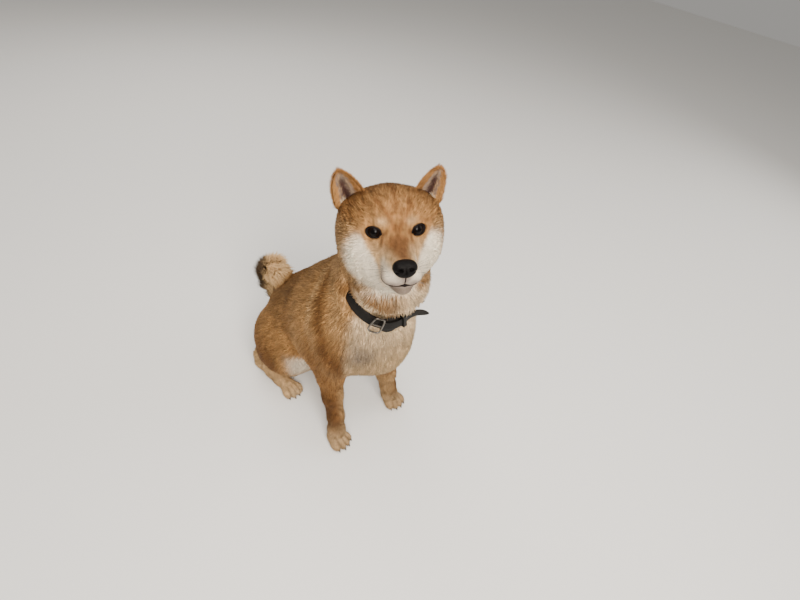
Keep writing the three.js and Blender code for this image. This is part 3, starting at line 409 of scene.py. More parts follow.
# A Catmull-Rom curve through the corners.
def smoothLine(corners, count):
    corners = np.asarray(corners, float)
    ends = np.vstack([2 * corners[0] - corners[1], corners, 2 * corners[-1] - corners[-2]])
    at = np.linspace(0, len(corners) - 1, count)
    k = np.minimum(at.astype(int), len(corners) - 2)
    t = (at - k)[:, None]
    a, b, c, d = ends[k], ends[k + 1], ends[k + 2], ends[k + 3]
    return 0.5 * (2 * b + (c - a) * t + (2 * a - 5 * b + 4 * c - d) * t**2 + (3 * b - a - 3 * c + d) * t**3)


# Distance to a line of points.
def fromLine(points, line):
    best = np.full(len(points), 1e9)
    for spot in line:
        best = np.minimum(best, ((points - spot) ** 2).sum(-1))
    return np.sqrt(best)


lipLine = smoothLine([(-x, y, z) for x, y, z in mouthLine[:0:-1]] + mouthLine, 61)
philtrumLine = smoothLine([(0, -109, -24), (0, -107, -30), (0, -105, -38)], 9)


# The plain skin with a socket for each eye and a groove along the lips.
def skinDistance(points):
    points = np.asarray(points, np.float32)
    whole = plainSkin(points)
    local = toHead(points)
    near = (np.abs(local[:, 0]) < 50) & (local[:, 1] < -20) & between(local[:, 2], -60, 40)
    near = np.nonzero(near)[0]
    if len(near) == 0:
        return whole
    spot = local[near]
    cut = whole[near].astype(float)
    for s in (1, -1):
        at, along, over, outward = eyeAxes(s)
        d = spot - at - outward * 9
        d = np.stack([d @ along, d @ over, d @ outward], -1)
        cut = -soft(-cut, ball(d, (0, 0, 0), (12, 8.5, 7.5)), 1.5)
    low = np.nonzero((spot[:, 1] < -60) & (spot[:, 2] < -16))[0]
    if len(low):
        cut[low] = -soft(-cut[low], fromLine(spot[low], lipLine) - 1.1, 1.2)
        cut[low] = -soft(-cut[low], fromLine(spot[low], philtrumLine) - 0.7, 0.8)
    whole[near] = cut
    return whole


# Central differences along the three axes.
def gradient(distance, points, step=0.7):
    axes = np.eye(3, dtype=np.float32) * step
    parts = [distance(points + a) - distance(points - a) for a in axes]
    return np.stack(parts, -1) / (2 * step)


# Newton's steps towards the surface where the distance is zero.
def settle(distance, points, rounds=3):
    for _ in range(rounds):
        g = gradient(distance, points)
        points = points - distance(points)[:, None] * g / np.maximum((g * g).sum(-1, keepdims=True), 0.25)
    return points


# One vertex in each cell that the surface crosses, at the mean of its edge crossings, and a quad for each
# grid edge that the surface crosses.
def surfaceNet(distance, low, high, cell):
    counts = [int(math.ceil((h - l) / cell)) + 1 for l, h in zip(low, high)]
    axes = [np.float32(l) + np.arange(n, dtype=np.float32) * cell for l, n in zip(low, counts)]
    value = np.empty(counts, np.float32)
    for i, x in enumerate(axes[0]):
        grid = np.stack(np.meshgrid([x], axes[1], axes[2], indexing="ij"), -1).reshape(-1, 3)
        value[i] = distance(grid).reshape(counts[1], counts[2])
    inside = value < 0
    total = np.zeros([n - 1 for n in counts] + [3], np.float32)
    crossings = np.zeros([n - 1 for n in counts], np.float32)
    spans = [slice(0, -1), slice(1, None)]
    for axis in range(3):
        others = [a for a in range(3) if a != axis]
        for p in (0, 1):
            for q in (0, 1):
                first, second = [None] * 3, [None] * 3
                first[axis], second[axis] = spans[0], spans[1]
                first[others[0]] = second[others[0]] = spans[p]
                first[others[1]] = second[others[1]] = spans[q]
                a, b = value[tuple(first)], value[tuple(second)]
                crossed = (a < 0) != (b < 0)
                t = np.where(crossed, a / np.where(crossed, a - b, 1), 0)
                total[..., axis] += t
                total[..., others[0]] += crossed * p
                total[..., others[1]] += crossed * q
                crossings += crossed
    active = crossings > 0
    index = np.full(active.shape, -1, np.int64)
    index[active] = np.arange(active.sum())
    cells = np.argwhere(active)
    offset = total[active] / crossings[active][:, None]
    vertices = np.array(low) + (cells + offset) * cell
    quads = []
    for axis in range(3):
        u, w = (axis + 1) % 3, (axis + 2) % 3
        here, there = [slice(1, -1)] * 3, [slice(1, -1)] * 3
        here[axis], there[axis] = slice(0, -1), slice(1, None)
        a, b = inside[tuple(here)], inside[tuple(there)]
        spots = np.argwhere(a != b)
        flip = ~a[a != b]
        base = spots.copy()
        base[:, u] += 1
        base[:, w] += 1
        corners = []
        for du, dw in ((0, 0), (-1, 0), (-1, -1), (0, -1)):
            c = base.copy()
            c[:, u] += du
            c[:, w] += dw
            corners.append(index[c[:, 0], c[:, 1], c[:, 2]])
        quad = np.stack(corners, -1)
        quad[flip] = quad[flip][:, ::-1]
        quads.append(quad)
    return vertices, np.concatenate(quads)


# A smooth mesh from places in metres; faces is an array of quads or triangles, or a list of such arrays.
def makeMesh(name, place, faces):
    lists = faces if isinstance(faces, list) else [faces]
    mesh = bpy.data.meshes.new(name)
    loops = np.concatenate([f.ravel() for f in lists]).astype(np.int32)
    sizes = np.concatenate([np.full(len(f), f.shape[1], np.int32) for f in lists])
    mesh.vertices.add(len(place))
    mesh.vertices.foreach_set("co", place.astype(np.float32).ravel())
    mesh.loops.add(len(loops))
    mesh.loops.foreach_set("vertex_index", loops)
    mesh.polygons.add(len(sizes))
    mesh.polygons.foreach_set("loop_start", np.concatenate([[0], np.cumsum(sizes)[:-1]]).astype(np.int32))
    mesh.polygons.foreach_set("loop_total", sizes)
    mesh.update(calc_edges=True)
    mesh.validate()
    mesh.polygons.foreach_set("use_smooth", np.ones(len(mesh.polygons), bool))
    piece = bpy.data.objects.new(name, mesh)
    bpy.context.scene.collection.objects.link(piece)
    return piece


# Gives a piece its material and its body, and hides the nodes that it stands for.
def finishPiece(piece, material, nodes=()):
    piece.data.materials.clear()
    piece.data.materials.append(material)
    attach(piece, "root")
    if nodes:
        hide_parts(*nodes)
    return piece


# Noise over the body.


# Random values on a lattice, joined smoothly between its corners, from -1 to 1.
def latticeNoise(points, scale, seed):
    p = np.asarray(points, float) / scale + 1000
    cell = np.floor(p).astype(np.int64)
    f = p - cell
    f = f * f * (3 - 2 * f)
    total = np.zeros(len(p))
    for corner in range(8):
        bits = np.array([(corner >> a) & 1 for a in range(3)])
        c = cell + bits
        h = (c[:, 0] * 73856093) ^ (c[:, 1] * 19349663) ^ (c[:, 2] * 83492791) ^ (seed * 2654435761)
        h = (h ^ (h >> 13)) * 1274126177
        h = (h ^ (h >> 16)) & 0xFFFF
        weight = np.prod(np.where(bits, f, 1 - f), axis=1)
        total += weight * (h / 32767.5 - 1)
    return total


# Markings, shared by skin and coat.


# An sRGB colour as linear numbers.
def tone(red, green, blue):
    c = np.array([red, green, blue], float) / 255
    return np.where(c <= 0.04045, c / 12.92, ((c + 0.055) / 1.055) ** 2.4)


coatTones = {
    "red": tone(194, 149, 96),
    "deepRed": tone(140, 97, 57),
    "pale": tone(228, 194, 146),
    "cream": tone(246, 222, 186),
    "white": tone(255, 246, 228),
    "sable": tone(62, 48, 38),
    "grey": tone(160, 146, 134),
    "bridge": tone(112, 74, 43),
    "lipDark": tone(30, 25, 25),
    # paw: a cream darkened by painted shade, for feet in the body's shadow
    "paw": tone(186, 158, 120),
    "noseSide": tone(176, 150, 122),
    "lipHair": tone(120, 104, 104),
    # chinHair: a greyer tone for the chin, partly its own hair and partly painted shade under the jaw
    "chinHair": tone(120, 106, 96),
    "earSkin": tone(120, 96, 84),
    # earHollow: painted shade for the skin in the ear's hollow
    "earHollow": tone(60, 40, 37),
    "earFringe": tone(188, 156, 118),
    "earDown": tone(150, 132, 118),
    # earDeep: painted shade for the hair in the ear's hollow
    "earDeep": tone(76, 52, 47),
    "earRoot": tone(224, 208, 184),
}


# A colour moved towards another by a share from 0 to 1.
def mixTone(base, other, amount):
    return base + (other - base) * np.clip(amount, 0, 1)[:, None]


# 1 in the furrows between the toes, where painted shade goes, and 0 elsewhere.
def toeGrooves(points):
    furrow = np.zeros(len(points))
    for paw in paws:
        across, ahead, high = ((points - np.array([*paw["at"], 0])) @ turned("z", paw["turn"])).T
        front = smoothstep(2, -6, ahead) * (np.abs(across) < paw["width"] / 2)
        front = front * (ahead > -paw["length"] * 0.62) * (high < 34)
        for n in (-1, 0, 1):
            aside = across - n * paw["width"] / toesAcross + n * 0.10 * (ahead + 14)
            furrow = np.maximum(furrow, front * bell((aside, 0, 1.5)))
    return furrow


# A coat tone, dimmed where dim is under 1, laid over a colour by a share from 0 to 1.
def laid(color, name, amount, dim=1.0):
    return mixTone(color, coatTones[name] * dim, amount)


# Light and dark streaks, strong in the red coat and weak in the pale, where blue is over half of red.
def streaked(color, noise, least, more):
    redness = smoothstep(0.78, 0.5, color[:, 2] / color[:, 0])
    return color * (1 + (least + more * redness) * noise)[:, None]


# The trunk, neck, legs and tail: each tone has its share from distances to a place, ragged by noise.
def bodyMarkings(points):
    x, y, z = points.T
    width = np.abs(x)
    wave = latticeNoise(points, 26, 3)
    fine = latticeNoise(points, 9, 4)
    color = np.tile(coatTones["red"], (len(points), 1))
    # bands that lean back as they rise behind the shoulder: the pale band at -33 and the dark one at -54 are
    # painted light and shade of a fold in the coat
    across = y - 0.41 * (z - 300) + 5 * wave
    high = smoothstep(120, 190, z)
    light = bell((across, -33, 9)) + 0.7 * bell((across, -84, 16))
    light = light + 0.35 * smoothstep(-24, -8, across) * smoothstep(60, 20, across)
    dark = bell((across, -54, 9)) + 0.4 * bell((across, 66, 12))
    color = laid(color, "pale", 0.50 * light * high)
    color = laid(color, "deepRed", 0.75 * dark * high, 0.85)
    # black-tipped hair over the loin and along the spine
    loin = smoothstep(92, 50, np.abs(x + 10)) * smoothstep(34, 60, y) * smoothstep(196, 236, z)
    spine = 0.7 * smoothstep(50, 14, np.abs(x + 4)) * smoothstep(-16, 14, y) * smoothstep(236, 280, z)
    color = laid(color, "sable", 0.42 * np.maximum(loin, spine) * (0.8 + 0.5 * fine))
    shoulder = smoothstep(0, -50, y) * smoothstep(330, 230, z) * smoothstep(110, 170, z)
    haunch = smoothstep(40, 60, y) * smoothstep(180, 110, z)
    color = laid(color, "deepRed", 0.6 * shoulder + 0.7 * haunch)
    # cream chest with an ash-grey patch, darker towards its bottom as painted shade
    chest = smoothstep(-48, -76, y + 0.42 * np.abs(x - 30) + 6 * wave) * smoothstep(150, 186, z)
    color = laid(color, "cream", 0.9 * chest)
    ash = bell((x, -30, 26), (z, 256, 26)) * chest
    color = laid(color, "pale", 0.7 * chest * smoothstep(310, 220, z), 0.74)
    color = laid(color, "grey", 0.95 * ash * (0.8 + 0.5 * fine), 0.78)
    # above the strap only the throat's middle is cream
    above = smoothstep(-6, 12, (points - collar["at"]) @ strapUp)
    aside = (x - 22) * 0.84 + (y + 130) * 0.54
    throat = smoothstep(52, 22, np.abs(aside + 4 * wave)) * smoothstep(-70, -100, y)
    neck = coatTones["red"] + (coatTones["deepRed"] - coatTones["red"]) * 0.6
    neck = laid(neck, "cream", 0.95 * throat)
    color = color + (neck - color) * (above * smoothstep(300, 330, z))[:, None]
    belly = smoothstep(166, 146, z) * smoothstep(108, 80, width) * smoothstep(44, 22, y)
    belly = belly * smoothstep(-50, -24, y)
    groin = smoothstep(150, 120, z) * smoothstep(70, 50, width) * smoothstep(100, 60, y) * (y > -30)
    color = laid(color, "white", 0.85 * np.maximum(belly, groin), 0.9)
    # forelegs dark outside, partly their own deeper red and partly painted shade, and pale inside, with pale
    # paws darkened by painted shade
    foreleg = smoothstep(170, 120, z) * smoothstep(-20, -44, y)
    innerSide = smoothstep(-4, 22, np.where(x < 0, 66, 78) - width) * foreleg
    color = laid(color, "deepRed", 0.95 * foreleg * (1 - 0.8 * innerSide), 0.64)
    color = laid(color, "pale", 0.55 * innerSide, 0.66)
    paw = smoothstep(78, 26, z + 8 * wave) * smoothstep(0, -40, y)
    hindPaw = smoothstep(40, 24, z + 4 * wave) * smoothstep(122, 96, y) * smoothstep(40, 52, width) * (y > 0)
    color = laid(color, "paw", 0.85 * np.maximum(paw, 0.9 * hindPaw))
    # pale hock, breech and edge of the thigh
    hock = smoothstep(96, 70, z) * smoothstep(84, 110, y) * smoothstep(52, 66, width)
    color = laid(color, "pale", 0.6 * hock)
    shade = smoothstep(40, 60, y) * smoothstep(150, 90, z) * smoothstep(140, 110, y)
    color = laid(color, "deepRed", 0.5 * shade, 0.7)
    breech = smoothstep(140, 162, y + 4 * wave) * smoothstep(190, 140, z)
    thighEdge = smoothstep(92, 66, z + 5 * wave) * (y > 10) * smoothstep(90, 70, z)
    color = laid(color, "pale", 0.6 * np.maximum(breech, thighEdge), 0.85)
    # streaks that run down and back with the hair
    along = 0.45 * y - 0.89 * z
    strands = np.stack([x, 0.89 * y + 0.45 * z, 0.26 * along], -1)
    color = streaked(color, latticeNoise(strands, 3.4, 14) + 0.7 * latticeNoise(strands, 7.5, 15), 0.09, 0.14)
    # painted shade in the furrows between the toes
    color = laid(color, "lipDark", 0.35 * toeGrooves(points))
    near = np.nonzero((y > 90) & (z > 120))[0]
    if len(near):
        spot = points[near].astype(np.float32)
        share = smoothstep(8, -6, tailDistance(spot) - bodyDistance(spot)) * smoothstep(128, 150, z[near])
        # the brush: pale, and darker along its edge on the camera's left
        brush = np.tile(coatTones["pale"] * 0.80, (len(near), 1))
        edge = 0.67 * y[near] - 0.73 * x[near] + 5 * wave[near]
        brush = laid(brush, "sable", 0.95 * smoothstep(147, 159, edge), 0.8)
        color[near] += (brush - color[near]) * share[:, None]
    return color


# The head, the same on both sides: streaked red crown, white cheeks and lips, dark bridge and mouth.
def headMarkings(local, points):
    hx, hy, hz = np.abs(local[:, 0]), local[:, 1], local[:, 2]
    wave = latticeNoise(points, 14, 6)
    fine = latticeNoise(points, 5, 4)
    color = np.tile(coatTones["red"], (len(points), 1))
    # streaks on the forehead that run together between the eyes
    aim = hx - 0.62 * np.clip(hz - 18, 0, 60) - 2 * wave
    streak = bell((aim, 0, 5)) * smoothstep(6, 20, hz) * smoothstep(62, 46, hz)
    streak = np.maximum(streak, bell((hx, 0, 3.2)) * smoothstep(34, 46, hz) * (hy < 20))
    color = laid(color, "deepRed", 0.46 + 0.5 * streak + 0.36 * smoothstep(-0.1, 0.6, fine))
    temple = smoothstep(40, 58, hx + 3 * wave) * smoothstep(34, 16, hz)
    color = laid(color, "pale", 0.35 * temple)
    color = laid(color, "pale", 0.75 * smoothstep(6, -14, hz) * smoothstep(-2, -30, hy))
    bridge = smoothstep(22, 9, hx + 2 * wave) * smoothstep(-36, -58, hy)
    color = laid(color, "bridge", 0.85 * bridge * smoothstep(-20, -4, hz) * smoothstep(18, 6, hz))
    # a pale spot over each eye and a paler field under it
    color = laid(color, "pale", 0.55 * bell((hx, 20, 8), (hz, 30, 5)) * (hy < -10))
    under = smoothstep(20, 30, hx) * smoothstep(50, 40, hx) * smoothstep(10, 2, hz) * (hy < -30)
    color = laid(color, "pale", 0.3 * under)
    # white cheeks: the upper edge by distance from the middle, soft at the sides
    edge = np.interp(hx, [18, 27, 32, 38, 43, 47, 55, 64, 74, 84], [-36, -25, -16, -6, 3, 10, 9, 3, -9, -14])
    soften = 8 + 5 * smoothstep(44, 60, hx)
    rear = -25 + 0.15 * np.clip(-38 - hz, 0, None)
    white = smoothstep(1, -1, (hz - edge + 3 * wave + 2 * fine) / soften)
    white = white * smoothstep(13, -13, hy - rear + 6 * wave)
    onMuzzle = smoothstep(-54, -70, hy)
    white = white * (1 - onMuzzle)
    side = smoothstep(4, -14, hz - 0.6 * (hx - 12) + 2 * wave) * onMuzzle
    color = laid(color, "pale", 0.75 * side)
    white = np.maximum(white, smoothstep(-8, -24, hz - 0.35 * (hx - 14) + 1.5 * wave) * onMuzzle)
    color = laid(color, "white", 0.95 * white)
    # painted shade in the crease beside the muzzle, the greyer hair by the nose and the dark line under the
    # eye's corner
    crease = bell((hx - 26 - 0.16 * (hz + 20), 0, 2.6)) * smoothstep(-40, -28, hz)
    color = laid(color, "red", 0.22 * crease * smoothstep(8, -4, hz) * (hy < -40), 0.8)
    beside = smoothstep(-14, -4, hz) * smoothstep(-46, -62, hy) * smoothstep(10, 24, hx)
    color = laid(color, "noseSide", 0.6 * beside)
    tear = bell((hx - 19.5 + 0.25 * (hz - 8), 0, 2.6)) * smoothstep(-8, 4, hz) * smoothstep(22, 13, hz)
    color = laid(color, "bridge", 0.8 * tear * (hy < -30), 0.6)
    # fine streaks that run with the hair
    noise = latticeNoise(local * [1, 0.36, 0.36], 2.3, 14)
    noise = noise + 0.6 * latticeNoise(local * [1, 0.3, 0.3], 4.4, 15)
    color = streaked(color, noise, 0.05, 0.27)
    lips = np.minimum(fromLine(local, lipLine[::2]), fromLine(local, philtrumLine[::2]))
    color = laid(color, "lipHair", 0.85 * smoothstep(18, 2, lips) * smoothstep(-50, -80, hy))
    # the chin greyer and darker: partly its own hair, partly painted shade under the jaw
    color = laid(color, "chinHair", 0.85 * smoothstep(-70, -84, hy) * smoothstep(-36, -44, hz))
    return laid(color, "lipDark", 0.75 * smoothstep(3.2, 1.2, lips))


# The coat's colour by place: red over back and crown, cream on cheeks, throat, chest, belly and paws.
def markings(points):
    points = np.asarray(points, float)
    local = toHead(points)
    color = bodyMarkings(points)
    far = np.linalg.norm(local, axis=1)
    near = np.nonzero((far < 150) & (local[:, 2] > -96))[0]
    if len(near):
        share = smoothstep(-96, -78, local[near, 2])[:, None]
        color[near] += (headMarkings(local[near], points[near]) - color[near]) * share
    return color


# The skin.

skinGrid = {"low": (-130, -215, -6), "high": (140, 225, 592), "cell": 3.4}
vertices, quads = surfaceNet(skinDistance, **skinGrid)
vertices = settle(skinDistance, vertices.astype(np.float32), 2)
report("skin surface")
skinMesh = makeMesh("dog_skin", toFrame(vertices), quads)


# The places of vertices, or the middles of faces, in the maker's millimetres.
def meshPoints(items, key="co"):
    place = np.empty(len(items) * 3, np.float32)
    items.foreach_get(key, place)
    return place.reshape(-1, 3) * 1000 - frameShift


# Halves the faces whose middles are chosen, then settles the new vertices on the skin.
def refine(piece, chosen):
    mesh = piece.data
    wanted = chosen(meshPoints(mesh.polygons, "center"))
    work = bmesh.new()
    work.from_mesh(mesh)
    work.faces.ensure_lookup_table()
    edges = {e for i in np.nonzero(wanted)[0] for e in work.faces[i].edges}
    bmesh.ops.subdivide_edges(work, edges=list(edges), cuts=1, use_grid_fill=True)
    work.to_mesh(mesh)
    work.free()
    place = meshPoints(mesh.vertices)
    near = chosen(place)
    place[near] = settle(skinDistance, place[near].astype(np.float32), 2)
    mesh.vertices.foreach_set("co", toFrame(place).astype(np.float32).ravel())
    mesh.update()


# The face and the paws, where the skin is made twice as fine.
def onFaceOrPaws(points):
    local = toHead(points)
    face = (local[:, 1] < -14) & (local[:, 2] > -68) & (np.abs(local[:, 0]) < 60)
    hind = (np.abs(points[:, 0]) > 56) & (points[:, 1] < 90)
    return face | (between(points[:, 2], 2, 36) & ((points[:, 1] < -60) | hind))


# Round the eyes and at the mouth, where it is made finer once more.
def onEyesOrMouth(points):
    local = toHead(points)
    chosen = (local[:, 1] < -66) & between(local[:, 2], -50, -8) & (np.abs(local[:, 0]) < 34)
    for s in sides.values():
        chosen |= ((local - eyeAxes(s)[0]) ** 2).sum(-1) < 19**2
    return chosen


refine(skinMesh, onFaceOrPaws)
refine(skinMesh, onEyesOrMouth)
skinPoints = meshPoints(skinMesh.data.vertices)
report("face refined")


# Shader maths.


# A shader socket that takes part in Python expressions.
class Sock:

    def __init__(self, maker, socket):
        self.maker, self.socket = maker, socket

    def __add__(self, other):
        return self.maker.math("ADD", self, other)

    def __sub__(self, other):
        return self.maker.math("SUBTRACT", self, other)

    def __mul__(self, other):
        return self.maker.math("MULTIPLY", self, other)

    def __rsub__(self, other):
        return self.maker.math("SUBTRACT", other, self)

    __radd__, __rmul__ = __add__, __mul__


# One material being built. node() makes any node from its type, settings and socket values.
class Shader:

    def __init__(self, name):
        self.material = bpy.data.materials.new(name)
        self.material.use_nodes = True
        self.tree = self.material.node_tree
        self.surface = self.tree.nodes["Principled BSDF"]

    def node(self, kind, out=0, ramp=None, values=None, **settings):
        made = self.tree.nodes.new(kind)
        for key, value in settings.items():
            setattr(made, key, value)
        if ramp:
            while len(made.color_ramp.elements) < len(ramp):
                made.color_ramp.elements.new(0.5)
            for stop, (position, color) in zip(made.color_ramp.elements, ramp):
                stop.position, stop.color = position, (*color, 1)
        for key, value in (values or {}).items():
            self.feed(made.inputs[key], value)
        return Sock(self, made.outputs[out])

    def feed(self, target, value):
        if isinstance(value, Sock):
            self.tree.links.new(value.socket, target)
        elif target.type == "RGBA":
            target.default_value = (*value, 1)
        else:
            target.default_value = value

    def math(self, operation, a, b):
        return self.node("ShaderNodeMath", operation=operation, values={0: a, 1: b})

    def mix(self, a, b, amount, how="MIX"):
        values = {0: amount, 6: a, 7: b}
        return self.node("ShaderNodeMix", out=2, data_type="RGBA", blend_type=how, values=values)

    def place(self):
        return self.node("ShaderNodeTexCoord", out="Object")

    def noise(self, scale, detail=2.0):
        values = {"Vector": self.place(), "Scale": scale, "Detail": detail}
        return self.node("ShaderNodeTexNoise", values=values)

    def cells(self, scale):
        return self.node("ShaderNodeTexVoronoi", values={"Vector": self.place(), "Scale": scale})

    def ramp(self, value, *stops):
        return self.node("ShaderNodeValToRGB", ramp=stops, values={"Fac": value})

    def bump(self, height, strength=0.3, distance=0.001):
        values = {"Height": height, "Strength": strength, "Distance": distance}
        return self.node("ShaderNodeBump", values=values)

    def set(self, **values):
        for key, value in values.items():
            self.feed(self.surface.inputs[key.replace("_", " ")], value)
        return self.material


# Hair: the painted colour, a little lighter and darker in fine streaks.
def coatMaterial():
    s = Shader("coat_fur")
    color = s.node("ShaderNodeAttribute", attribute_name="coat")
    streak = s.mix((0.84, 0.82, 0.80), (1.08, 1.04, 1.0), s.noise(620, 2))
    s.set(Base_Color=s.mix(color, streak, 1.0, "MULTIPLY"), Roughness=0.7, Specular_IOR_Level=0.08)
    return s.material


# Skin in the coat's colour, darker in patches, with a fine grain.
def skinMaterial():
    s = Shader("dog_skin")
    color = s.node("ShaderNodeAttribute", attribute_name="coat")
    darker = s.mix((0.62, 0.56, 0.5), (1.0, 0.98, 0.95), s.noise(420, 4))
    s.set(Base_Color=s.mix(color, darker, 1.0, "MULTIPLY"), Roughness=0.85, Specular_IOR_Level=0.2)
    return s.set(Normal=s.bump(s.noise(900, 3), 0.5, 0.0008))


# Black dyed leather: pebbled grain, greyer and rougher where it has been rubbed.
def leatherMaterial():
    s = Shader("collar_leather")
    grain = s.cells(620)
    rubbed = s.ramp(s.noise(70, 4), (0.42, (0.004, 0.0035, 0.003)), (0.75, (0.013, 0.010, 0.008)))
    s.set(Base_Color=rubbed, Roughness=0.34 + 0.22 * s.noise(140, 3), Specular_IOR_Level=0.16)
    return s.set(Normal=s.bump(grain, 0.35, 0.0004))


# Plated metal, tarnished in patches.
def nickelMaterial():
    s = Shader("nickel_fitting")
    tarnish = s.ramp(s.noise(160, 4), (0.35, (0.10, 0.09, 0.078)), (0.6, (0.22, 0.205, 0.185)))
    s.set(Base_Color=tarnish, Metallic=1.0, Roughness=0.24 + 0.2 * s.noise(300, 3))
    return s.set(Normal=s.bump(s.noise(500, 2), 0.08, 0.0003))


# Dark brown iris round a black pupil, under a wet clear coat. The attribute is the angle from the gaze.
def eyeMaterial():
    s = Shader("dog_eye")
    angle = s.node("ShaderNodeAttribute", out=2, attribute_name="gaze")
    fibre = s.noise(900, 3)
    pupil = [(0.0, (0.002, 0.0015, 0.0015)), (0.40, (0.003, 0.002, 0.002))]
    iris = [(0.47, (0.006, 0.003, 0.0018)), (0.72, (0.004, 0.002, 0.0015))]
    white = [(0.80, (0.003, 0.0025, 0.0025)), (1.0, (0.02, 0.014, 0.012))]
    color = s.ramp(angle + 0.05 * fibre, *pupil, *iris, *white)
    s.set(Base_Color=color, Roughness=0.25, Specular_IOR_Level=0.04, Coat_Weight=0.10, Coat_Roughness=0.02)
    return s.material


# Black pebbled nose leather, damp on its face.
def noseMaterial():
    s = Shader("nose_leather")
    pebble = s.cells(900)
    color = s.ramp(s.noise(260, 3), (0.35, (0.0025, 0.002, 0.002)), (0.7, (0.006, 0.005, 0.005)))
    s.set(Base_Color=color, Roughness=0.36 + 0.2 * s.noise(380, 2), Specular_IOR_Level=0.07)
    return s.set(Normal=s.bump(pebble, 0.6, 0.0005))


# Bare dark skin of the lids and lips, painted to the coat's colour where it passes under the hair.
def lidMaterial():
    s = Shader("lid_skin")
    color = s.node("ShaderNodeAttribute", attribute_name="coat")
    folds = s.noise(700, 4)
    s.set(Base_Color=s.mix(color, (0.75, 0.72, 0.7), 0.5 * folds, "MULTIPLY"))
    s.set(Roughness=0.55 + 0.25 * folds, Specular_IOR_Level=0.05)
    return s.set(Normal=s.bump(folds, 0.4, 0.0004))


# Dark horn, lighter along its grain.
def clawMaterial():
    s = Shader("claw_horn")
    grain = s.noise(400, 4)
    color = s.ramp(grain, (0.3, (0.020, 0.014, 0.011)), (0.8, (0.09, 0.065, 0.05)))
    s.set(Base_Color=color, Roughness=0.3 + 0.2 * grain)
    return s.set(Normal=s.bump(grain, 0.15, 0.0003))


# Stiff hair, dark in stretches.
def whiskerMaterial():
    s = Shader("whisker")
    color = s.ramp(s.noise(60, 2), (0.4, (0.10, 0.085, 0.07)), (0.7, (0.35, 0.30, 0.25)))
    return s.set(Base_Color=color, Roughness=0.4)


coatLook = coatMaterial()
skinLook = skinMaterial()
leatherLook = leatherMaterial()
nickelLook = nickelMaterial()
eyeLook = eyeMaterial()
noseLook = noseMaterial()
lidLook = lidMaterial()
clawLook = clawMaterial()
whiskerLook = whiskerMaterial()
for name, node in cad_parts.items():
    if name.startswith("claw"):
        node.data.materials.clear()
        node.data.materials.append(clawLook)


# Lofts and tubes.


# Quads between rows of points; each row is a closed ring, and the last row may join the first.
def gridFaces(rows, columns, closedRows=False):
    r = np.arange(rows if closedRows else rows - 1)
    c = np.arange(columns)
    a, b = np.meshgrid(r, c, indexing="ij")
    a, b = a.ravel(), b.ravel()
    up, side = (a + 1) % rows, (b + 1) % columns
    return np.stack([a * columns + b, a * columns + side, up * columns + side, up * columns + b], -1)


# A closed surface from rings of points; open ends are filled with a fan round the ring's middle.
def loft(name, rings, closed=False):
    rings = np.asarray(rings, float)
    rows, columns = rings.shape[:2]
    vertices = rings.reshape(-1, 3)
    faces = [gridFaces(rows, columns, closed)]
    if not closed:
        vertices = np.vstack([vertices, rings[0].mean(0), rings[-1].mean(0)])
        c = np.arange(columns)
        n = rows * columns
        last = (rows - 1) * columns
        faces.append(np.stack([c, np.full(columns, n), (c + 1) % columns], -1))
        faces.append(np.stack([last + c, last + (c + 1) % columns, np.full(columns, n + 1)], -1))
    piece = makeMesh(name, toFrame(vertices), faces)
    turnOut(piece)
    return piece


# Turns the faces of a closed mesh outwards.
def turnOut(piece):
    work = bmesh.new()
    work.from_mesh(piece.data)
    bmesh.ops.recalc_face_normals(work, faces=work.faces)
    if work.calc_volume(signed=True) < 0:
        bmesh.ops.reverse_faces(work, faces=work.faces)
    work.to_mesh(piece.data)
    work.free()


# Rings that draw a tube's end in to a dome: further out by w of the radius, and smaller by sqrt(1 - ww).
def dome(middle, way, radius, ring):
    return [middle + way * radius * w + (ring - middle) * math.sqrt(1 - w * w) for w in (0.6, 0.9)]


# A round tube along a line of points: a circle across the line at each, with domes at open ends.
def tube(name, line, radii, corners=12, closed=False):
    line = np.asarray(line, float)
    radii = np.broadcast_to(radii, len(line)).astype(float)
    along = unit(np.roll(line, -1, 0) - np.roll(line, 1, 0) if closed else np.gradient(line, axis=0))
    first = np.cross(along, line - line.mean(0))
    straight = np.linalg.norm(first, axis=1, keepdims=True) < 1e-3
    first = unit(np.where(straight, np.cross(along, [0.3, 0.2, 1]), first))
    second = np.cross(along, first)
    a = np.linspace(0, 2 * np.pi, corners, endpoint=False)
    ring = np.cos(a)[None, :, None] * first[:, None] + np.sin(a)[None, :, None] * second[:, None]
    rings = line[:, None] + ring * radii[:, None, None]
    if not closed:
        start = dome(line[0], -along[0], radii[0], rings[0])
        end = dome(line[-1], along[-1], radii[-1], rings[-1])
        rings = np.concatenate([start[::-1], rings, end])
    return loft(name, rings, closed)


# Keeps a colour for each vertex, which the materials read.
def paint(piece, colors):
    layer = piece.data.color_attributes.new("coat", "FLOAT_COLOR", "POINT")
    colors = np.clip(np.concatenate([colors, np.ones((len(colors), 1))], -1), 0, 1)
    layer.data.foreach_set("color", colors.astype(np.float32).ravel())


# Eyes and lids.


# How far along each way the plain skin is, found by halving.
def reachSkin(start, ways, low=4.0, high=30.0):
    low, high = np.full(len(ways), low), np.full(len(ways), high)
    for _ in range(14):
        middle = (low + high) / 2
        inside = plainSkin(fromHead(start + ways * middle[:, None])) < 0
        low, high = np.where(inside, middle, low), np.where(inside, high, middle)
    return low


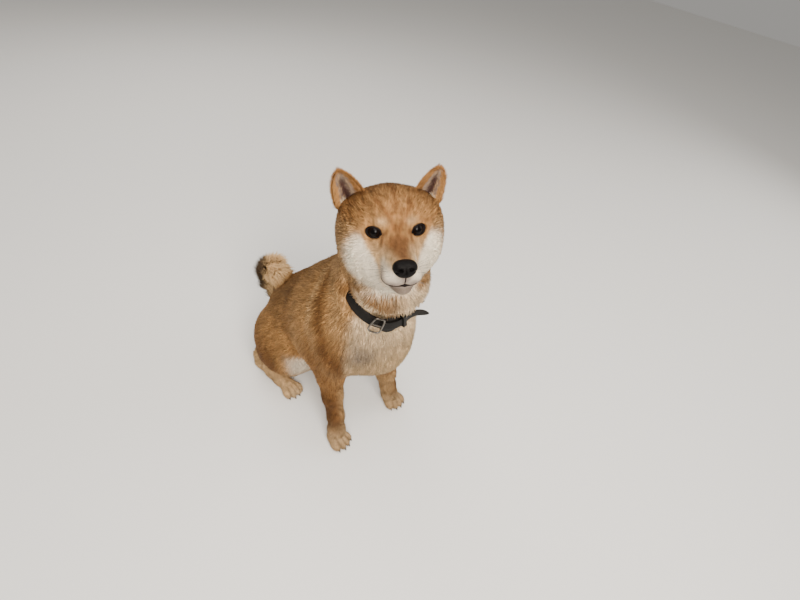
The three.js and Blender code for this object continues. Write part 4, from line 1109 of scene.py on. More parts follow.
# A sphere by two angles with a low bulge at the gaze; each vertex keeps its angle from it, for the iris.
def makeEyeball(s, side):
    at, _, _, outward = eyeAxes(s)
    gaze = unit(outward + unit(toHead(camera["at"][None])[0] - at) * 0.8)
    first = unit(np.cross(gaze, [0, 0, 1]))
    second = np.cross(gaze, first)
    polar = np.linspace(0.06, np.pi - 0.06, 28)
    around = np.linspace(0, 2 * np.pi, 48, endpoint=False)
    ring = np.cos(around)[None, :, None] * first + np.sin(around)[None, :, None] * second
    bulge = 1 + 0.045 * smoothstep(0.75, 0.2, polar)
    rings = gaze * np.cos(polar)[:, None, None] + ring * np.sin(polar)[:, None, None]
    rings = at + eyeShape["radius"] * rings * (bulge * 0.985)[:, None, None]
    eyeball = loft(f"eyeball_{side}", fromHead(rings))
    angle = np.append(np.repeat(polar, len(around)), [0, np.pi]) / 1.1
    layer = eyeball.data.attributes.new("gaze", "FLOAT", "POINT")
    layer.data.foreach_set("value", np.clip(angle, 0, 1).astype(np.float32))
    finishPiece(eyeball, eyeLook, [f"eye_{side}"])


lidRows = [
    # distance outside the opening, rise over the eyeball, share of the skin's own place, share of bare skin
    (0, -1.2, 0, 1),
    (0, 0.1, 0, 1),
    (0.15, 0.6, 0, 1),
    (0.5, 0.85, 0, 1),
    (1.0, 0.9, 0.15, 1),
    (1.7, 0.8, 0.5, 0.7),
    (2.8, 0.5, 0.85, 0.15),
    (4.6, 0.0, 1.0, 0),
    (3.6, -3, 0, 0),
    (1.8, -3, 0, 0),
]


# An almond, cos across by a power of sin upwards, then rows over its rounded rim, out under the coat and back
# inside, closed to a ring.
def makeLids(s, side):
    at, along, over, outward = eyeAxes(s)
    radius = eyeShape["radius"]
    turns = np.linspace(0, 2 * np.pi, 96, endpoint=False)
    inner = smoothstep(0.45, 1, -s * np.cos(turns))
    u = eyeShape["width"] / 2 * np.cos(turns) * (0.92 + 0.30 * inner)
    v = eyeShape["height"] / 2 * np.sign(np.sin(turns)) * np.abs(np.sin(turns)) ** 1.12 - 3.6 * inner**2
    du, dv = np.roll(u, -1) - np.roll(u, 1), np.roll(v, -1) - np.roll(v, 1)
    normal = unit(np.stack([dv, -du], -1))
    rings = []
    for away, rise, share, _ in lidRows:
        across, upward = u + normal[:, 0] * away, v + normal[:, 1] * away
        deep = np.maximum(np.sqrt(np.maximum(radius**2 - across**2 - upward**2, 0)), 6.5)
        ways = unit(outward * deep[:, None] + along * across[:, None] + over * upward[:, None])
        reach = radius + rise
        if share > 0:
            hood = 0.6 * np.sin(turns) * (1 - share)
            reach = reach * (1 - share) + (reachSkin(at, ways) - 0.7 * (share == 1) + 0.35) * share + hood
        rings.append(at + ways * np.broadcast_to(reach, len(turns))[:, None])
    rings = fromHead(np.array(rings))
    lids = loft(f"eye_rim_{side}", rings, closed=True)
    bare = np.repeat([row[3] for row in lidRows], len(turns))
    paint(lids, laid(markings(rings.reshape(-1, 3)) * 0.9, "lipDark", bare, 0.6))
    finishPiece(lids, lidLook)


camera = {
    "at": np.array([-361.85, -451.89, 880.0]),
    "focal": 450,  # in pixels of a frame 800 wide
    "right": np.array([0.7343, -0.6652, 0.1349]),
    "up": np.array([0.4091, 0.5923, 0.6941]),
    "ahead": np.array([0.5417, 0.4545, -0.7071]),
}
for side, s in sides.items():
    makeEyeball(s, side)
    makeLids(s, side)


# Nose, lips and whiskers.


# A block where x, y and z to the power 2.5 add up to 1, with nostrils, wings and a furrow as bell curves.
def makeNose():
    polar = np.linspace(0.05, np.pi - 0.05, 60)
    around = np.linspace(0, 2 * np.pi, 96, endpoint=False)
    p, a = np.meshgrid(polar, around, indexing="ij")
    way = np.stack([np.sin(p) * np.cos(a), -np.cos(p), np.sin(p) * np.sin(a)], -1)
    square = (np.abs(way) ** 2.5).sum(-1) ** (-1 / 2.5)
    spot = way * square[..., None] * (noseShape["size"] / 2) * 0.97
    narrow = 1 - 0.20 * smoothstep(2, -11, spot[..., 2])
    spot[..., 0] *= narrow
    x, y, z = np.abs(spot[..., 0]), spot[..., 1], spot[..., 2]
    front = smoothstep(2, -4, y)
    hole = np.exp(-(((x - 7.0) / 2.7) ** 2 + ((z + 0.8) / 2.2) ** 2) ** 1.5)
    slit = bell((x, 11.5, 3.4), (z, -3.4, 1.2))
    wing = bell((x, 9.5, 5.0), (z, 1.5, 4.5))
    furrow = bell((x, 0, 0.9)) * smoothstep(4, -3, z)
    inward = 5.0 * hole + 2.6 * slit + 1.3 * furrow - 1.0 * wing * (1 - hole)
    spot[..., 1] += inward * front
    spot = spot @ turned("x", noseShape["lean"]).T + noseShape["at"]
    return finishPiece(loft("nose_leather", fromHead(spot)), noseLook, ["nose"])


# A dark tube that lies in the skin's groove along a line of the head.
def makeLip(name, line, radii, corners):
    lip = tube(name, settle(plainSkin, fromHead(line).astype(np.float32), 3), radii, corners)
    paint(lip, np.tile(coatTones["lipDark"], (len(lip.data.vertices), 1)))
    finishPiece(lip, lidLook)


whiskers = {"seed": 14, "rows": 3, "inRow": 4, "length": 19, "radius": 0.2, "droop": 0.12}


# Fine tapered tubes in rows on each side of the muzzle, longer to the rear, each drooping as tt.
def makeWhiskers():
    random = np.random.default_rng(whiskers["seed"])
    t = np.linspace(0, 1, 8)[:, None]
    number = 0
    for s in (1, -1):
        for row in range(whiskers["rows"]):
            for k in range(whiskers["inRow"]):
                root = np.array([s * (15 + 1.6 * k), -90 + 5.5 * k, -22 - 5 * row + random.normal(0, 0.6)])
                start = settle(plainSkin, fromHead(root[None]).astype(np.float32), 3)[0]
                way = headTurn @ unit([s * 1.0, -0.15 + 0.25 * k, 0.28 - 0.32 * row])
                length = whiskers["length"] + 4 * k + random.uniform(-3, 3)
                line = start + way * length * t + np.array([0, 0, -1]) * whiskers["droop"] * length * t**2
                number += 1
                whisker = tube(f"whisker_{number}", line, whiskers["radius"] * (1 - 0.85 * t[:, 0]), 5)
                finishPiece(whisker, whiskerLook)


makeNose()
middleShare = np.abs(np.linspace(-1, 1, len(lipLine)))
fullness = 0.45 + 1.9 * bell((middleShare, 0, 0.28)) + 0.6 * bell((middleShare, 0.92, 0.10))
makeLip("lips", lipLine, fullness, 12)
makeLip("lip_seam", philtrumLine, 0.9, 10)
makeWhiskers()
report("eyes, nose and mouth")


# Ears.


# The ear's root, its ways up, forwards and across, and its height.
def earAxes(s):
    root = np.array([s * ear["root"][0], *ear["root"][1:]], float)
    tip = np.array([s * ear["tip"][0], *ear["tip"][1:]], float)
    up = unit(tip - root)
    facing = unit(np.cross(np.cross(up, [s * 0.22, -1, 0.1]), up))
    return root, up, facing, np.cross(up, facing), np.linalg.norm(tip - root)


# Half the ear's width at a share t of its height: it narrows as a power of t and closes at the tip.
def earHalf(t):
    t = np.clip(t / 0.97, 0, 1)
    return ear["width"] / 2 * (1 - 0.60 * t**1.9) * np.sqrt(np.maximum(1 - t**6, 0.003))


# A cupped leaf: u goes across as cos and the cup as uu - 1, and the edges roll a little forward.
def makeEar(s, side):
    root, up, facing, wide, height = earAxes(s)
    t = np.concatenate([np.linspace(-0.2, 0.8, 24), 0.97 - 0.17 * np.cos(np.linspace(0.25, 0.5, 9) * np.pi)])
    turns = np.linspace(0, 2 * np.pi, 60, endpoint=False)
    tt = np.clip(t, 0, 1)
    half = earHalf(t) * 0.97 * (1 - 0.4 * smoothstep(0.12, -0.2, t))
    cup = ear["cup"] * (1 - 0.75 * tt)
    thick = 2.6 * (1 - 0.3 * tt)
    u = np.cos(turns)
    u = u * np.where(s * u > 0, 0.90, 1.02)
    edge = np.abs(u) ** 5
    v = cup[:, None] * (u * u - 1) + thick[:, None] * 0.5 * np.sin(turns) * (1 + 0.8 * edge) + 0.8 * edge
    rings = root + up * (t * height)[:, None, None] + wide * (half[:, None] * u)[..., None]
    rings = rings + facing * v[..., None]
    rim = np.maximum(smoothstep(0.45, 0.70, np.abs(u))[None], smoothstep(0.72, 0.9, t)[:, None])
    cover = np.maximum(rim, (np.sin(turns) < 0)[None]).ravel()
    piece = loft(f"ear_flap_{side}", fromHead(rings))
    # the cup's skin, darkened in its lower hollow as painted shade
    hollow = bell((u, 0, 0.5))[None] * smoothstep(0.75, 0.3, t)[:, None]
    inner = laid(coatTones["earSkin"], "earHollow", hollow.ravel())
    colors = inner + (coatTones["deepRed"] - inner) * cover[:, None]
    paint(piece, np.vstack([colors, colors[:1], colors[-1:]]))
    finishPiece(piece, skinLook, [f"ear_{side}"])
    return piece


ears = {side: makeEar(s, side) for side, s in sides.items()}


# Charts: the skin unwrapped by the part of the body and the way that each place faces.


chart = {"columns": 7, "low": -230, "size": 840}  # squares in a row, and what each shows in millimetres


# Flat charts: each part of the body, seen along the axis that it faces most, has its own square.
def chartPlaces(points, normals):
    local = toHead(points)
    part = np.zeros(len(points), int)
    fore = (points[:, 2] < 150) & (points[:, 1] < 0)
    part[fore & (points[:, 0] < 5)] = 1
    part[fore & (points[:, 0] >= 5)] = 2
    hind = (points[:, 2] < 60) & (np.abs(points[:, 0]) > 66) & (points[:, 1] > 0)
    part[hind & (points[:, 0] < 0)] = 3
    part[hind & (points[:, 0] > 0)] = 4
    near = np.nonzero((points[:, 1] > 92) & (points[:, 2] > 130))[0]
    spot = points[near].astype(np.float32)
    part[near[tailDistance(spot) < bodyDistance(spot)]] = 5
    part[(np.linalg.norm(local, axis=1) < 118) & (local[:, 2] > -70)] = 6
    axis = np.abs(normals).argmax(1)
    away = (normals[np.arange(len(points)), axis] > 0).astype(int)
    number = part * 6 + axis * 2 + away
    other = np.array([(1, 2), (0, 2), (0, 1)])[axis]
    flat = np.stack([points[np.arange(len(points)), other[:, k]] for k in (0, 1)], -1)
    cell = np.stack([number % chart["columns"], number // chart["columns"]], -1)
    return (cell + 0.04 + 0.92 * ((flat - chart["low"]) / chart["size"])) / chart["columns"]


# The lie of the coat.

lieRows = [
    # place, then the way that the hair lies there
    ((19, -60, 400), (0.1, 0.6, -0.8)),
    ((14, -10, 380), (0, 0.75, -0.65)),
    ((8, 40, 320), (0, 0.6, -0.8)),
    ((0, 110, 240), (0, 0.5, -0.85)),
    ((0, 165, 150), (0, 0.25, -1)),
    ((0, 170, 60), (0, 0.1, -1)),
    ((-85, 20, 250), (-0.1, 0.75, -0.65)),
    ((90, 10, 250), (0.1, 0.75, -0.65)),
    ((-80, -40, 260), (-0.1, 0.35, -0.95)),
    ((105, -60, 260), (0.1, 0.35, -0.95)),
    ((24, -150, 300), (0, -0.15, -1)),
    ((24, -150, 230), (0, 0.1, -1)),
    ((20, -110, 170), (0, 0.4, -0.9)),
    ((-110, 80, 120), (0, 0.65, -0.75)),
    ((110, 80, 120), (0, 0.65, -0.75)),
    ((-70, 10, 140), (0, 0.5, -0.85)),
    ((70, 10, 140), (0, 0.5, -0.85)),
    ((-60, -80, 100), (0, 0.1, -1)),
    ((65, -100, 100), (0, 0.1, -1)),
    ((-72, -125, 14), (0, -1, -0.25)),
    ((84, -125, 14), (0, -1, -0.25)),
    ((-85, 40, 14), (0, -1, -0.2)),
    ((85, 40, 14), (0, -1, -0.2)),
    ((-92, 120, 30), (0, -0.4, -0.9)),
    ((92, 120, 30), (0, -0.4, -0.9)),
    ((-95, 140, 60), (0, 0.2, -1)),
    ((95, 140, 60), (0, 0.2, -1)),
]
headLieRows = [
    ((0, -98, -4), (0, 0.75, 0.65)),
    ((0, -70, 0), (0, 0.85, 0.5)),
    ((0, -45, 25), (0, 0.6, 0.8)),
    ((0, -20, 55), (0, 0.9, 0.4)),
    ((0, 20, 66), (0, 1, -0.1)),
    ((0, 60, 30), (0, 0.4, -0.9)),
    ((14, -92, -22), (0.6, 0.8, 0.0)),
    ((20, -84, -30), (0.35, 0.85, -0.35)),
    ((30, -50, -20), (0.6, 0.6, -0.4)),
    ((30, -42, 30), (0.5, 0.7, 0.5)),
    ((55, -20, 10), (0.5, 0.8, -0.1)),
    ((72, -5, -20), (0.3, 0.75, -0.65)),
    ((55, -20, -50), (0.35, 0.55, -0.8)),
    ((20, -60, -58), (0.15, 0.7, -0.8)),
    ((0, -95, -50), (0, 0.6, -0.8)),
    ((0, -50, -75), (0, 0.7, -0.7)),
    ((40, -10, 50), (0.5, 0.6, 0.6)),
]


# Both lists as places and unit ways in the maker's frame; rows of the head are mirrored.
def buildLie():
    places, ways = [], []
    for place, way in lieRows:
        places.append(place)
        ways.append(way)
    for place, way in headLieRows:
        for s in (1, -1) if place[0] else (1,):
            places.append(fromHead([s * place[0], place[1], place[2]]))
            ways.append(headTurn @ np.array([s * way[0], way[1], way[2]]))
    return np.array(places, float), unit(np.array(ways, float))


liePlaces, lieWays = buildLie()


# The part of each way that lies along the skin: the way less its share along the normal.
def alongSkin(ways, normals):
    return unit(ways - (ways * normals).sum(-1, keepdims=True) * normals)


# Ways swung about the normal; turn is the tangent of the angle.
def swung(ways, normals, turn):
    return unit(ways + np.cross(normals, ways) * turn[:, None])


# The tail's direction beside each point, towards its tip.
def alongTail(points):
    line = smoothLine(tail["line"], 61)
    along = unit(np.gradient(line, axis=0))
    gap = ((points[:, None] - line[None]) ** 2).sum(-1)
    return along[gap.argmin(1)]


# The hair's way at each point: the nearest rows weigh most, and the part along the normal is taken out.
def lieAt(points, normals):
    way = np.zeros((len(points), 3))
    for start in range(0, len(points), 40000):
        block = slice(start, start + 40000)
        gap = ((points[block, None, :] - liePlaces[None]) ** 2).sum(-1)
        way[block] = (1 / (gap + 150) ** 2) @ lieWays
    return alongSkin(unit(way), normals)


# Places for tufts.


# A piece's vertices, and the three corners of each of its triangles.
def triangleArrays(piece):
    mesh = piece.data
    mesh.calc_loop_triangles()
    corners = np.empty(len(mesh.loop_triangles) * 3, np.int32)
    mesh.loop_triangles.foreach_get("vertices", corners)
    return meshPoints(mesh.vertices), corners.reshape(-1, 3)


# Even places: the weighted areas are summed in order and read off at equal steps, each step jittered.
def scatter(points, triangles, weight, count, seed):
    random = np.random.default_rng(seed)
    a, b, c = points[triangles[:, 0]], points[triangles[:, 1]], points[triangles[:, 2]]
    area = 0.5 * np.linalg.norm(np.cross(b - a, c - a), axis=1) * weight
    total = np.cumsum(area)
    steps = (np.arange(count) + random.random(count)) / count * total[-1]
    chosen = np.minimum(np.searchsorted(total, steps), len(area) - 1)
    r1, r2 = np.sqrt(random.random(count)), random.random(count)
    place = a[chosen] * (1 - r1)[:, None] + b[chosen] * (r1 * (1 - r2))[:, None]
    place = place + c[chosen] * (r1 * r2)[:, None]
    return place, chosen


# Hair and the collar.


# Hair under the strap: it dips to the strap's inner side and rises again above and below it.
def pressed(points):
    angle, out, up, outward = toStrap(points)
    over = np.clip(out - strapLimit(angle, up, 0.8) + 3.0, 0, None) * (np.abs(out) < 36) * (np.abs(up) < 44)
    return points - outward * over[:, None]


# The strap's loose end leaves the neck at an angle and goes on straight, curling away and down as tt.
tongue = {"from": 30, "leaves": -12, "inner": 4.8, "outer": 7.6, "half": 7.5, "length": 40, "curl": 16}
tongueFoot = strapPlace(tongue["leaves"], 0, 0)
tongueOnward = unit(strapPlace(tongue["leaves"] - 2, 0, 0) - tongueFoot)
tongueAway = unit(strapPlace(tongue["leaves"], 1, 0) - tongueFoot)
tongueEdge = unit(strapPlace(tongue["leaves"], 0, 1) - tongueFoot)
ringAngle = -44.0  # of the lead ring on the strap


# How far the loose end has left the strap's curve at a share t of its free length.
def tongueBend(t):
    curl = (tongue["curl"] * t**2)[:, None]
    return tongueOnward * (tongue["length"] * t)[:, None] + tongueAway * curl - tongueEdge * curl


tongueLine = strapPlace(tongue["leaves"], 6.2, 0) + tongueBend(np.linspace(0, 1, 9))


# True over the eyes: in front of each, out to a reach, and within an ellipse with these half sizes.
def overEyes(local, reach, half):
    found = np.zeros(len(local), bool)
    for s in sides.values():
        at, along, over, outward = eyeAxes(s)
        gap = local - at
        inside = (gap @ along / half[0]) ** 2 + (gap @ over / half[1]) ** 2 < 1
        found |= inside & between(gap @ outward, 0, reach)
    return found


# True where hair must not reach: round the collar's loose fittings, the eyes, the nose and the lips.
def inClear(points):
    blocked = fromLine(points, tongueLine[1:]) < 8.5
    blocked |= ((points - strapPlace(ringAngle, 12, 0)) ** 2).sum(-1) < 9**2
    local = toHead(points)
    blocked |= overEyes(local, 40, (10.6, 6.6))
    gap = (local - noseShape["at"]) / (noseShape["size"] / 2 + 0.6)
    blocked |= (gap * gap).sum(-1) < 1
    low = np.nonzero((local[:, 1] < -55) & between(local[:, 2], -60, -14))[0]
    blocked[low] |= fromLine(local[low], lipLine[::2]) < 2.0
    blocked[low] |= fromLine(local[low], philtrumLine) < 1.1
    return blocked


bendAt = 0.45  # the bend's share of a tuft's length


# Middle lines at t = 0, 0.45 and 1: along the lie, rising by the lift and bending back to the body.
def tuftRows(tufts):
    rows = []
    for t in (0.0, bendAt, 1.0):
        rise = tufts["length"] * np.sin(tufts["lift"]) * (1.35 * t - 0.35 * t * t)
        ahead = tufts["length"] * np.cos(tufts["lift"]) * t
        row = tufts["roots"] + tufts["ways"] * ahead[:, None] + tufts["normals"] * rise[:, None]
        rows.append(row + tufts["side"] * (tufts["sway"] * t * t)[:, None])
    return rows


# Moves points that stand further out than the coat's tips back to them.
def heldIn(points, proud):
    gap = coatDistance(points) - proud
    over = np.nonzero(gap > 0)[0]
    if len(over):
        way = unit(gradient(coatDistance, points[over].astype(np.float32)))
        points = points.copy()
        points[over] -= way * gap[over, None]
    return points


# shade goes from the root's tone to the tip's, and patch is a corner's place in the tuft's patch of the chart
longTuft = {
    "faces": [(0, 1, 2), (0, 4, 1), (0, 3, 4), (1, 5, 2), (1, 4, 5), (2, 3, 0), (2, 5, 3),
              (3, 6, 4), (4, 6, 5), (5, 6, 3)],
    "shade": [0, 0, 0, 0.55, 0.55, 0.55, 1.0],
    "patch": [(-1, -1), (1, -1), (0, -0.8), (-1, 0.2), (1, 0.2), (0, 0.3), (0, 1)],
}
shortTuft = {
    "faces": [(0, 1, 2), (0, 3, 1), (1, 3, 2), (2, 3, 0)],
    "shade": [0.25, 0.25, 0.35, 1.0],
    "patch": [(-1, -1), (1, -1), (0, -0.6), (0, 1)],
}


mostTriangles = 190000  # in one piece


# One array for each property of the tufts, under its name.
def tuftArrays(roots, normals, ways, length, width, lift, tipTone, rootTone):
    names = ("roots", "normals", "ways", "length", "width", "lift", "tipTone", "rootTone")
    return dict(zip(names, (roots, normals, ways, length, width, lift, tipTone, rootTone)))


# Thin closed tufts: three corners at the root, three at the bend where there is one, and a point.
def makeTufts(name, kind, tufts, seed, free=False, sink=1.2):
    random = np.random.default_rng(seed)
    count = len(tufts["roots"])
    length = tufts["length"]
    sway = length * 0.2 * latticeNoise(tufts["roots"], 8, seed) + length * random.normal(0, 0.08, count)
    tufts = {**tufts, "side": np.cross(tufts["normals"], tufts["ways"]), "sway": sway}
    rows = tuftRows(tufts)
    # a tuft that would reach a kept-clear place is cut short
    allowed = np.ones(count)
    for t in (0.2, 0.4, 0.6, 0.8, 1.0):
        share = t / bendAt if t < bendAt else (t - bendAt) / (1 - bendAt)
        first, second = rows[:2] if t < bendAt else rows[1:]
        blocked = inClear(first + (second - first) * share) & (allowed >= t)
        allowed[blocked] = t - 0.2
    keep = (allowed > 0.3) & ~inClear(tufts["roots"])
    tufts["length"], tufts["sway"] = length * allowed, sway * allowed
    tufts["chart"] = chartPlaces(tufts["roots"], tufts["normals"])
    tufts = {key: values[keep] for key, values in tufts.items()}
    count = len(tufts["roots"])
    rows = tuftRows(tufts)
    if not free:
        proud = random.uniform(-3.0, 1.5, count)
        rows[2] = heldIn(rows[2], proud)
        rows[1] = heldIn(rows[1], proud - 1)
    rows = [pressed(r) for r in rows]
    width = tufts["width"] * np.clip(tufts["length"] / 8, 0.5, 1)
    half, thick = tufts["side"] * (0.5 * width)[:, None], tufts["normals"] * (0.2 * width)[:, None]
    corners = []
    for row, scale, deep in [(rows[0], 0.8, sink), (rows[1], 1.0, 0.0)][: len(kind["shade"]) // 3]:
        base = row - tufts["normals"] * deep
        corners += [base - half * scale - thick, base + half * scale - thick, base + thick * 1.4]
    vertices = np.stack([*corners, rows[2]], 1)
    size = vertices.shape[1]
    vertices[..., 2] = np.maximum(vertices[..., 2], 0.3 + 0.1 * np.arange(size))
    shade = np.array(kind["shade"])[:, None]
    tones = tufts["rootTone"][:, None] * (1 - shade) + tufts["tipTone"][:, None] * shade
    spots = tufts["chart"][:, None] + np.array(kind["patch"]) * 0.0015
    pattern = np.array(kind["faces"])
    parts = max(1, math.ceil(count / (mostTriangles // len(pattern))))
    for part in range(parts):
        own = slice(count * part // parts, count * (part + 1) // parts)
        faces = pattern + size * np.arange(own.stop - own.start)[:, None, None]
        piece = makeMesh(f"{name}_{part + 1}", toFrame(vertices[own].reshape(-1, 3)), faces.reshape(-1, 3))
        paint(piece, tones[own].reshape(-1, 3))
        loops = np.empty(len(piece.data.loops), np.int32)
        piece.data.loops.foreach_get("vertex_index", loops)
        layer = piece.data.uv_layers.new(name="OFBake")
        layer.data.foreach_set("uv", spots[own].reshape(-1, 2)[loops].astype(np.float32).ravel())
        finishPiece(piece, coatLook)
    print(f"{name}: {count} tufts, {count * len(pattern)} triangles")


# The coat.

points, triangles = triangleArrays(skinMesh)
middle = points[triangles].mean(1)
middleNormals = unit(gradient(skinDistance, middle.astype(np.float32)))
report("skin normals")


coatRegions = {  # length and width of a tuft in millimetres, and how densely they stand
    "body": (21.0, 1.15, 1.0),
    "chest": (27, 1.25, 1.1),
    "leg": (9, 1.2, 1.9),
    "paw": (7.5, 1.1, 3.0),
    "noseEnd": (2.6, 0.7, 6.0),
    "ruff": (17, 1.2, 2.6),
}
tuftCounts = {
    "coat_long": (104000, 11000),
    "coat_short": (62000, 9000),
    "tail_brush": (9000, 1200),
    "ear_coat": (10000, 1200),
    "ear_edge": (1600, 200),
    "ear_down": (1500, 200),
}
widening = 1  # fewer tufts are made wider
shortCoat = 11  # below this length the short kind of tuft is used


# How many tufts of one kind are sown.
def tuftCount(name):
    return tuftCounts[name][0]


# 1 in the ruff behind each cheek, falling off as a bell.
def ruffShare(local):
    return bell((np.abs(local[:, 0]), 60, 12), (local[:, 2], 24, 18))


# Length, width and density of the coat at each place: each region pulls the body's values to its own.
def regionMeasures(place):
    local = toHead(place)
    x, y, z = place.T
    hx, hy, hz = np.abs(local[:, 0]), local[:, 1], local[:, 2]
    far = np.linalg.norm(local, axis=1)
    measures = [np.full(len(place), v) for v in coatRegions["body"]]

    def towards(share, values):
        for measure, value in zip(measures, values):
            measure += (value - measure) * share

    towards(smoothstep(-30, -70, y) * smoothstep(180, 220, z), coatRegions["chest"])
    foreleg = (1 - smoothstep(110, 180, z)) * smoothstep(-20, -50, y)
    leg = np.maximum(foreleg, (1 - smoothstep(48, 70, z)) * smoothstep(64, 76, np.abs(x)))
    towards(leg, coatRegions["leg"])
    towards(leg * (1 - smoothstep(24, 44, z)), coatRegions["paw"])
    head = smoothstep(-82, -66, hz) * (far < 130)
    cheek = np.clip(smoothstep(34, 60, hx) * smoothstep(24, 0, hz) + 0.8 * smoothstep(-4, 30, hy), 0, 1)
    snout = smoothstep(-34, -58, hy)
    headLength = 8.5 + 7 * cheek - (4.3 + 7 * cheek) * snout
    towards(head, [headLength, 1.0 - 0.05 * cheek - 0.25 * snout, 2.8 - 0.4 * cheek + 2.2 * snout])
    towards(smoothstep(-72, -90, hy) * head, coatRegions["noseEnd"])
    towards(ruffShare(local) * head, coatRegions["ruff"])
    return measures


# Tip and root tones: the marking's colour where a tuft lies, lighter or darker by tuft and by clump, with
# some tufts of the red coat half as bright.
def tuftTones(roots, ways, length, random):
    color = markings(roots + ways * (length * 0.45)[:, None])
    pale = smoothstep(0.35, 0.7, color[:, 2] / color[:, 0])
    head = np.linalg.norm(toHead(roots), axis=1) < 96
    uneven = 0.12 + 0.12 * head * (1 - pale)
    bright = 1 + uneven * random.normal(0, 1, len(roots)) + 0.08 * latticeNoise(roots, 11, 9)
    chest = smoothstep(-60, -90, roots[:, 1]) * ~head
    bright += 0.14 * chest * latticeNoise(roots * [1.3, 1, 0.5], 9, 12)
    bright += (0.12 + 0.14 * head) * (1 - 0.7 * pale) * latticeNoise(roots, 4.2, 10)
    tips = color * np.clip(bright, 0.5, 1.25)[:, None]
    dark = (pale < 0.1) & (random.random(len(roots)) < 0.16 + 0.14 * head)
    tips[dark] *= 0.5
    return tips, color * (0.64 + 0.30 * pale)[:, None]


# One kind of tuft over the skin where weight is above 0, leaning so that its tip stands at the coat's depth.
def growCoat(name, kind, weight, seed):
    count = tuftCount(name)
    roots, chosen = scatter(points, triangles, weight, count, seed)
    random = np.random.default_rng(seed + 1)
    normals = middleNormals[chosen]
    ways = lieAt(roots, normals)
    length, width, _ = regionMeasures(roots)
    length = length * random.uniform(0.75, 1.2, count)
    width = width * random.uniform(0.7, 1.35, count) * widening
    local = toHead(roots)
    rise = coatDepth(roots.astype(np.float32), local) / length * random.uniform(0.7, 1.15, count)
    lift = np.arcsin(np.clip(rise, 0.1, 0.7)) + 0.35 * ruffShare(local)
    ways = swung(ways, normals, 0.2 * latticeNoise(roots, 16, 8) + random.normal(0, 0.08, count))
    tipTone, rootTone = tuftTones(roots, ways, length, random)
    tufts = tuftArrays(roots, normals, ways, length, width, lift, tipTone, rootTone)
    makeTufts(name, kind, tufts, seed + 2)


length, _, dense = regionMeasures(middle)
onTail = tailDistance(middle.astype(np.float32)) + tail["sunk"] < 2.5
onTail &= (middle[:, 2] > 146) & (middle[:, 1] > 92) & (bodyDistance(middle.astype(np.float32)) > -4)
bare = (middle[:, 2] < 3) | overEyes(toHead(middle), 20, (13, 9)) | onTail
growCoat("coat_long", longTuft, np.where(bare | (length < shortCoat), 0, dense), 21)
growCoat("coat_short", shortTuft, np.where(bare | (length >= shortCoat), 0, dense), 41)
report("coat")


brush = {"length": (20, 33), "width": (1.2, 2.2), "lift": (16, 34), "seed": 61}


# Long loose tufts that stand out from the tail and sweep towards its tip.
def tailBrush():
    count = tuftCount("tail_brush")
    roots, chosen = scatter(points, triangles, np.where(onTail, 1.0, 0), count, brush["seed"])
    random = np.random.default_rng(brush["seed"] + 1)
    normals = middleNormals[chosen]
    ways = alongSkin(alongTail(roots), normals)
    length = random.uniform(*brush["length"], count)
    width = random.uniform(*brush["width"], count) * widening
    lift = np.radians(random.uniform(*brush["lift"], count))
    ways = swung(ways, normals, 0.25 * latticeNoise(roots, 14, 8))
    color = markings(roots + ways * (length * 0.5)[:, None] + normals * 12)
    tipTone = color * (1 + 0.10 * random.normal(0, 1, count))[:, None]
    tufts = tuftArrays(roots, normals, ways, length, width, lift, tipTone, color * 0.7)
    makeTufts("tail_brush", longTuft, tufts, brush["seed"] + 2, free=True)


tailBrush()


earHair = {  # kind of tuft, shortest and longest, width, and the left ear's seed
    "ear_coat": (shortTuft, 4.0, 8.0, 1.1, 71),
    "ear_edge": (longTuft, 6, 11, 1.0, 75),
    "ear_down": (longTuft, 6, 12, 0.8, 91),
}


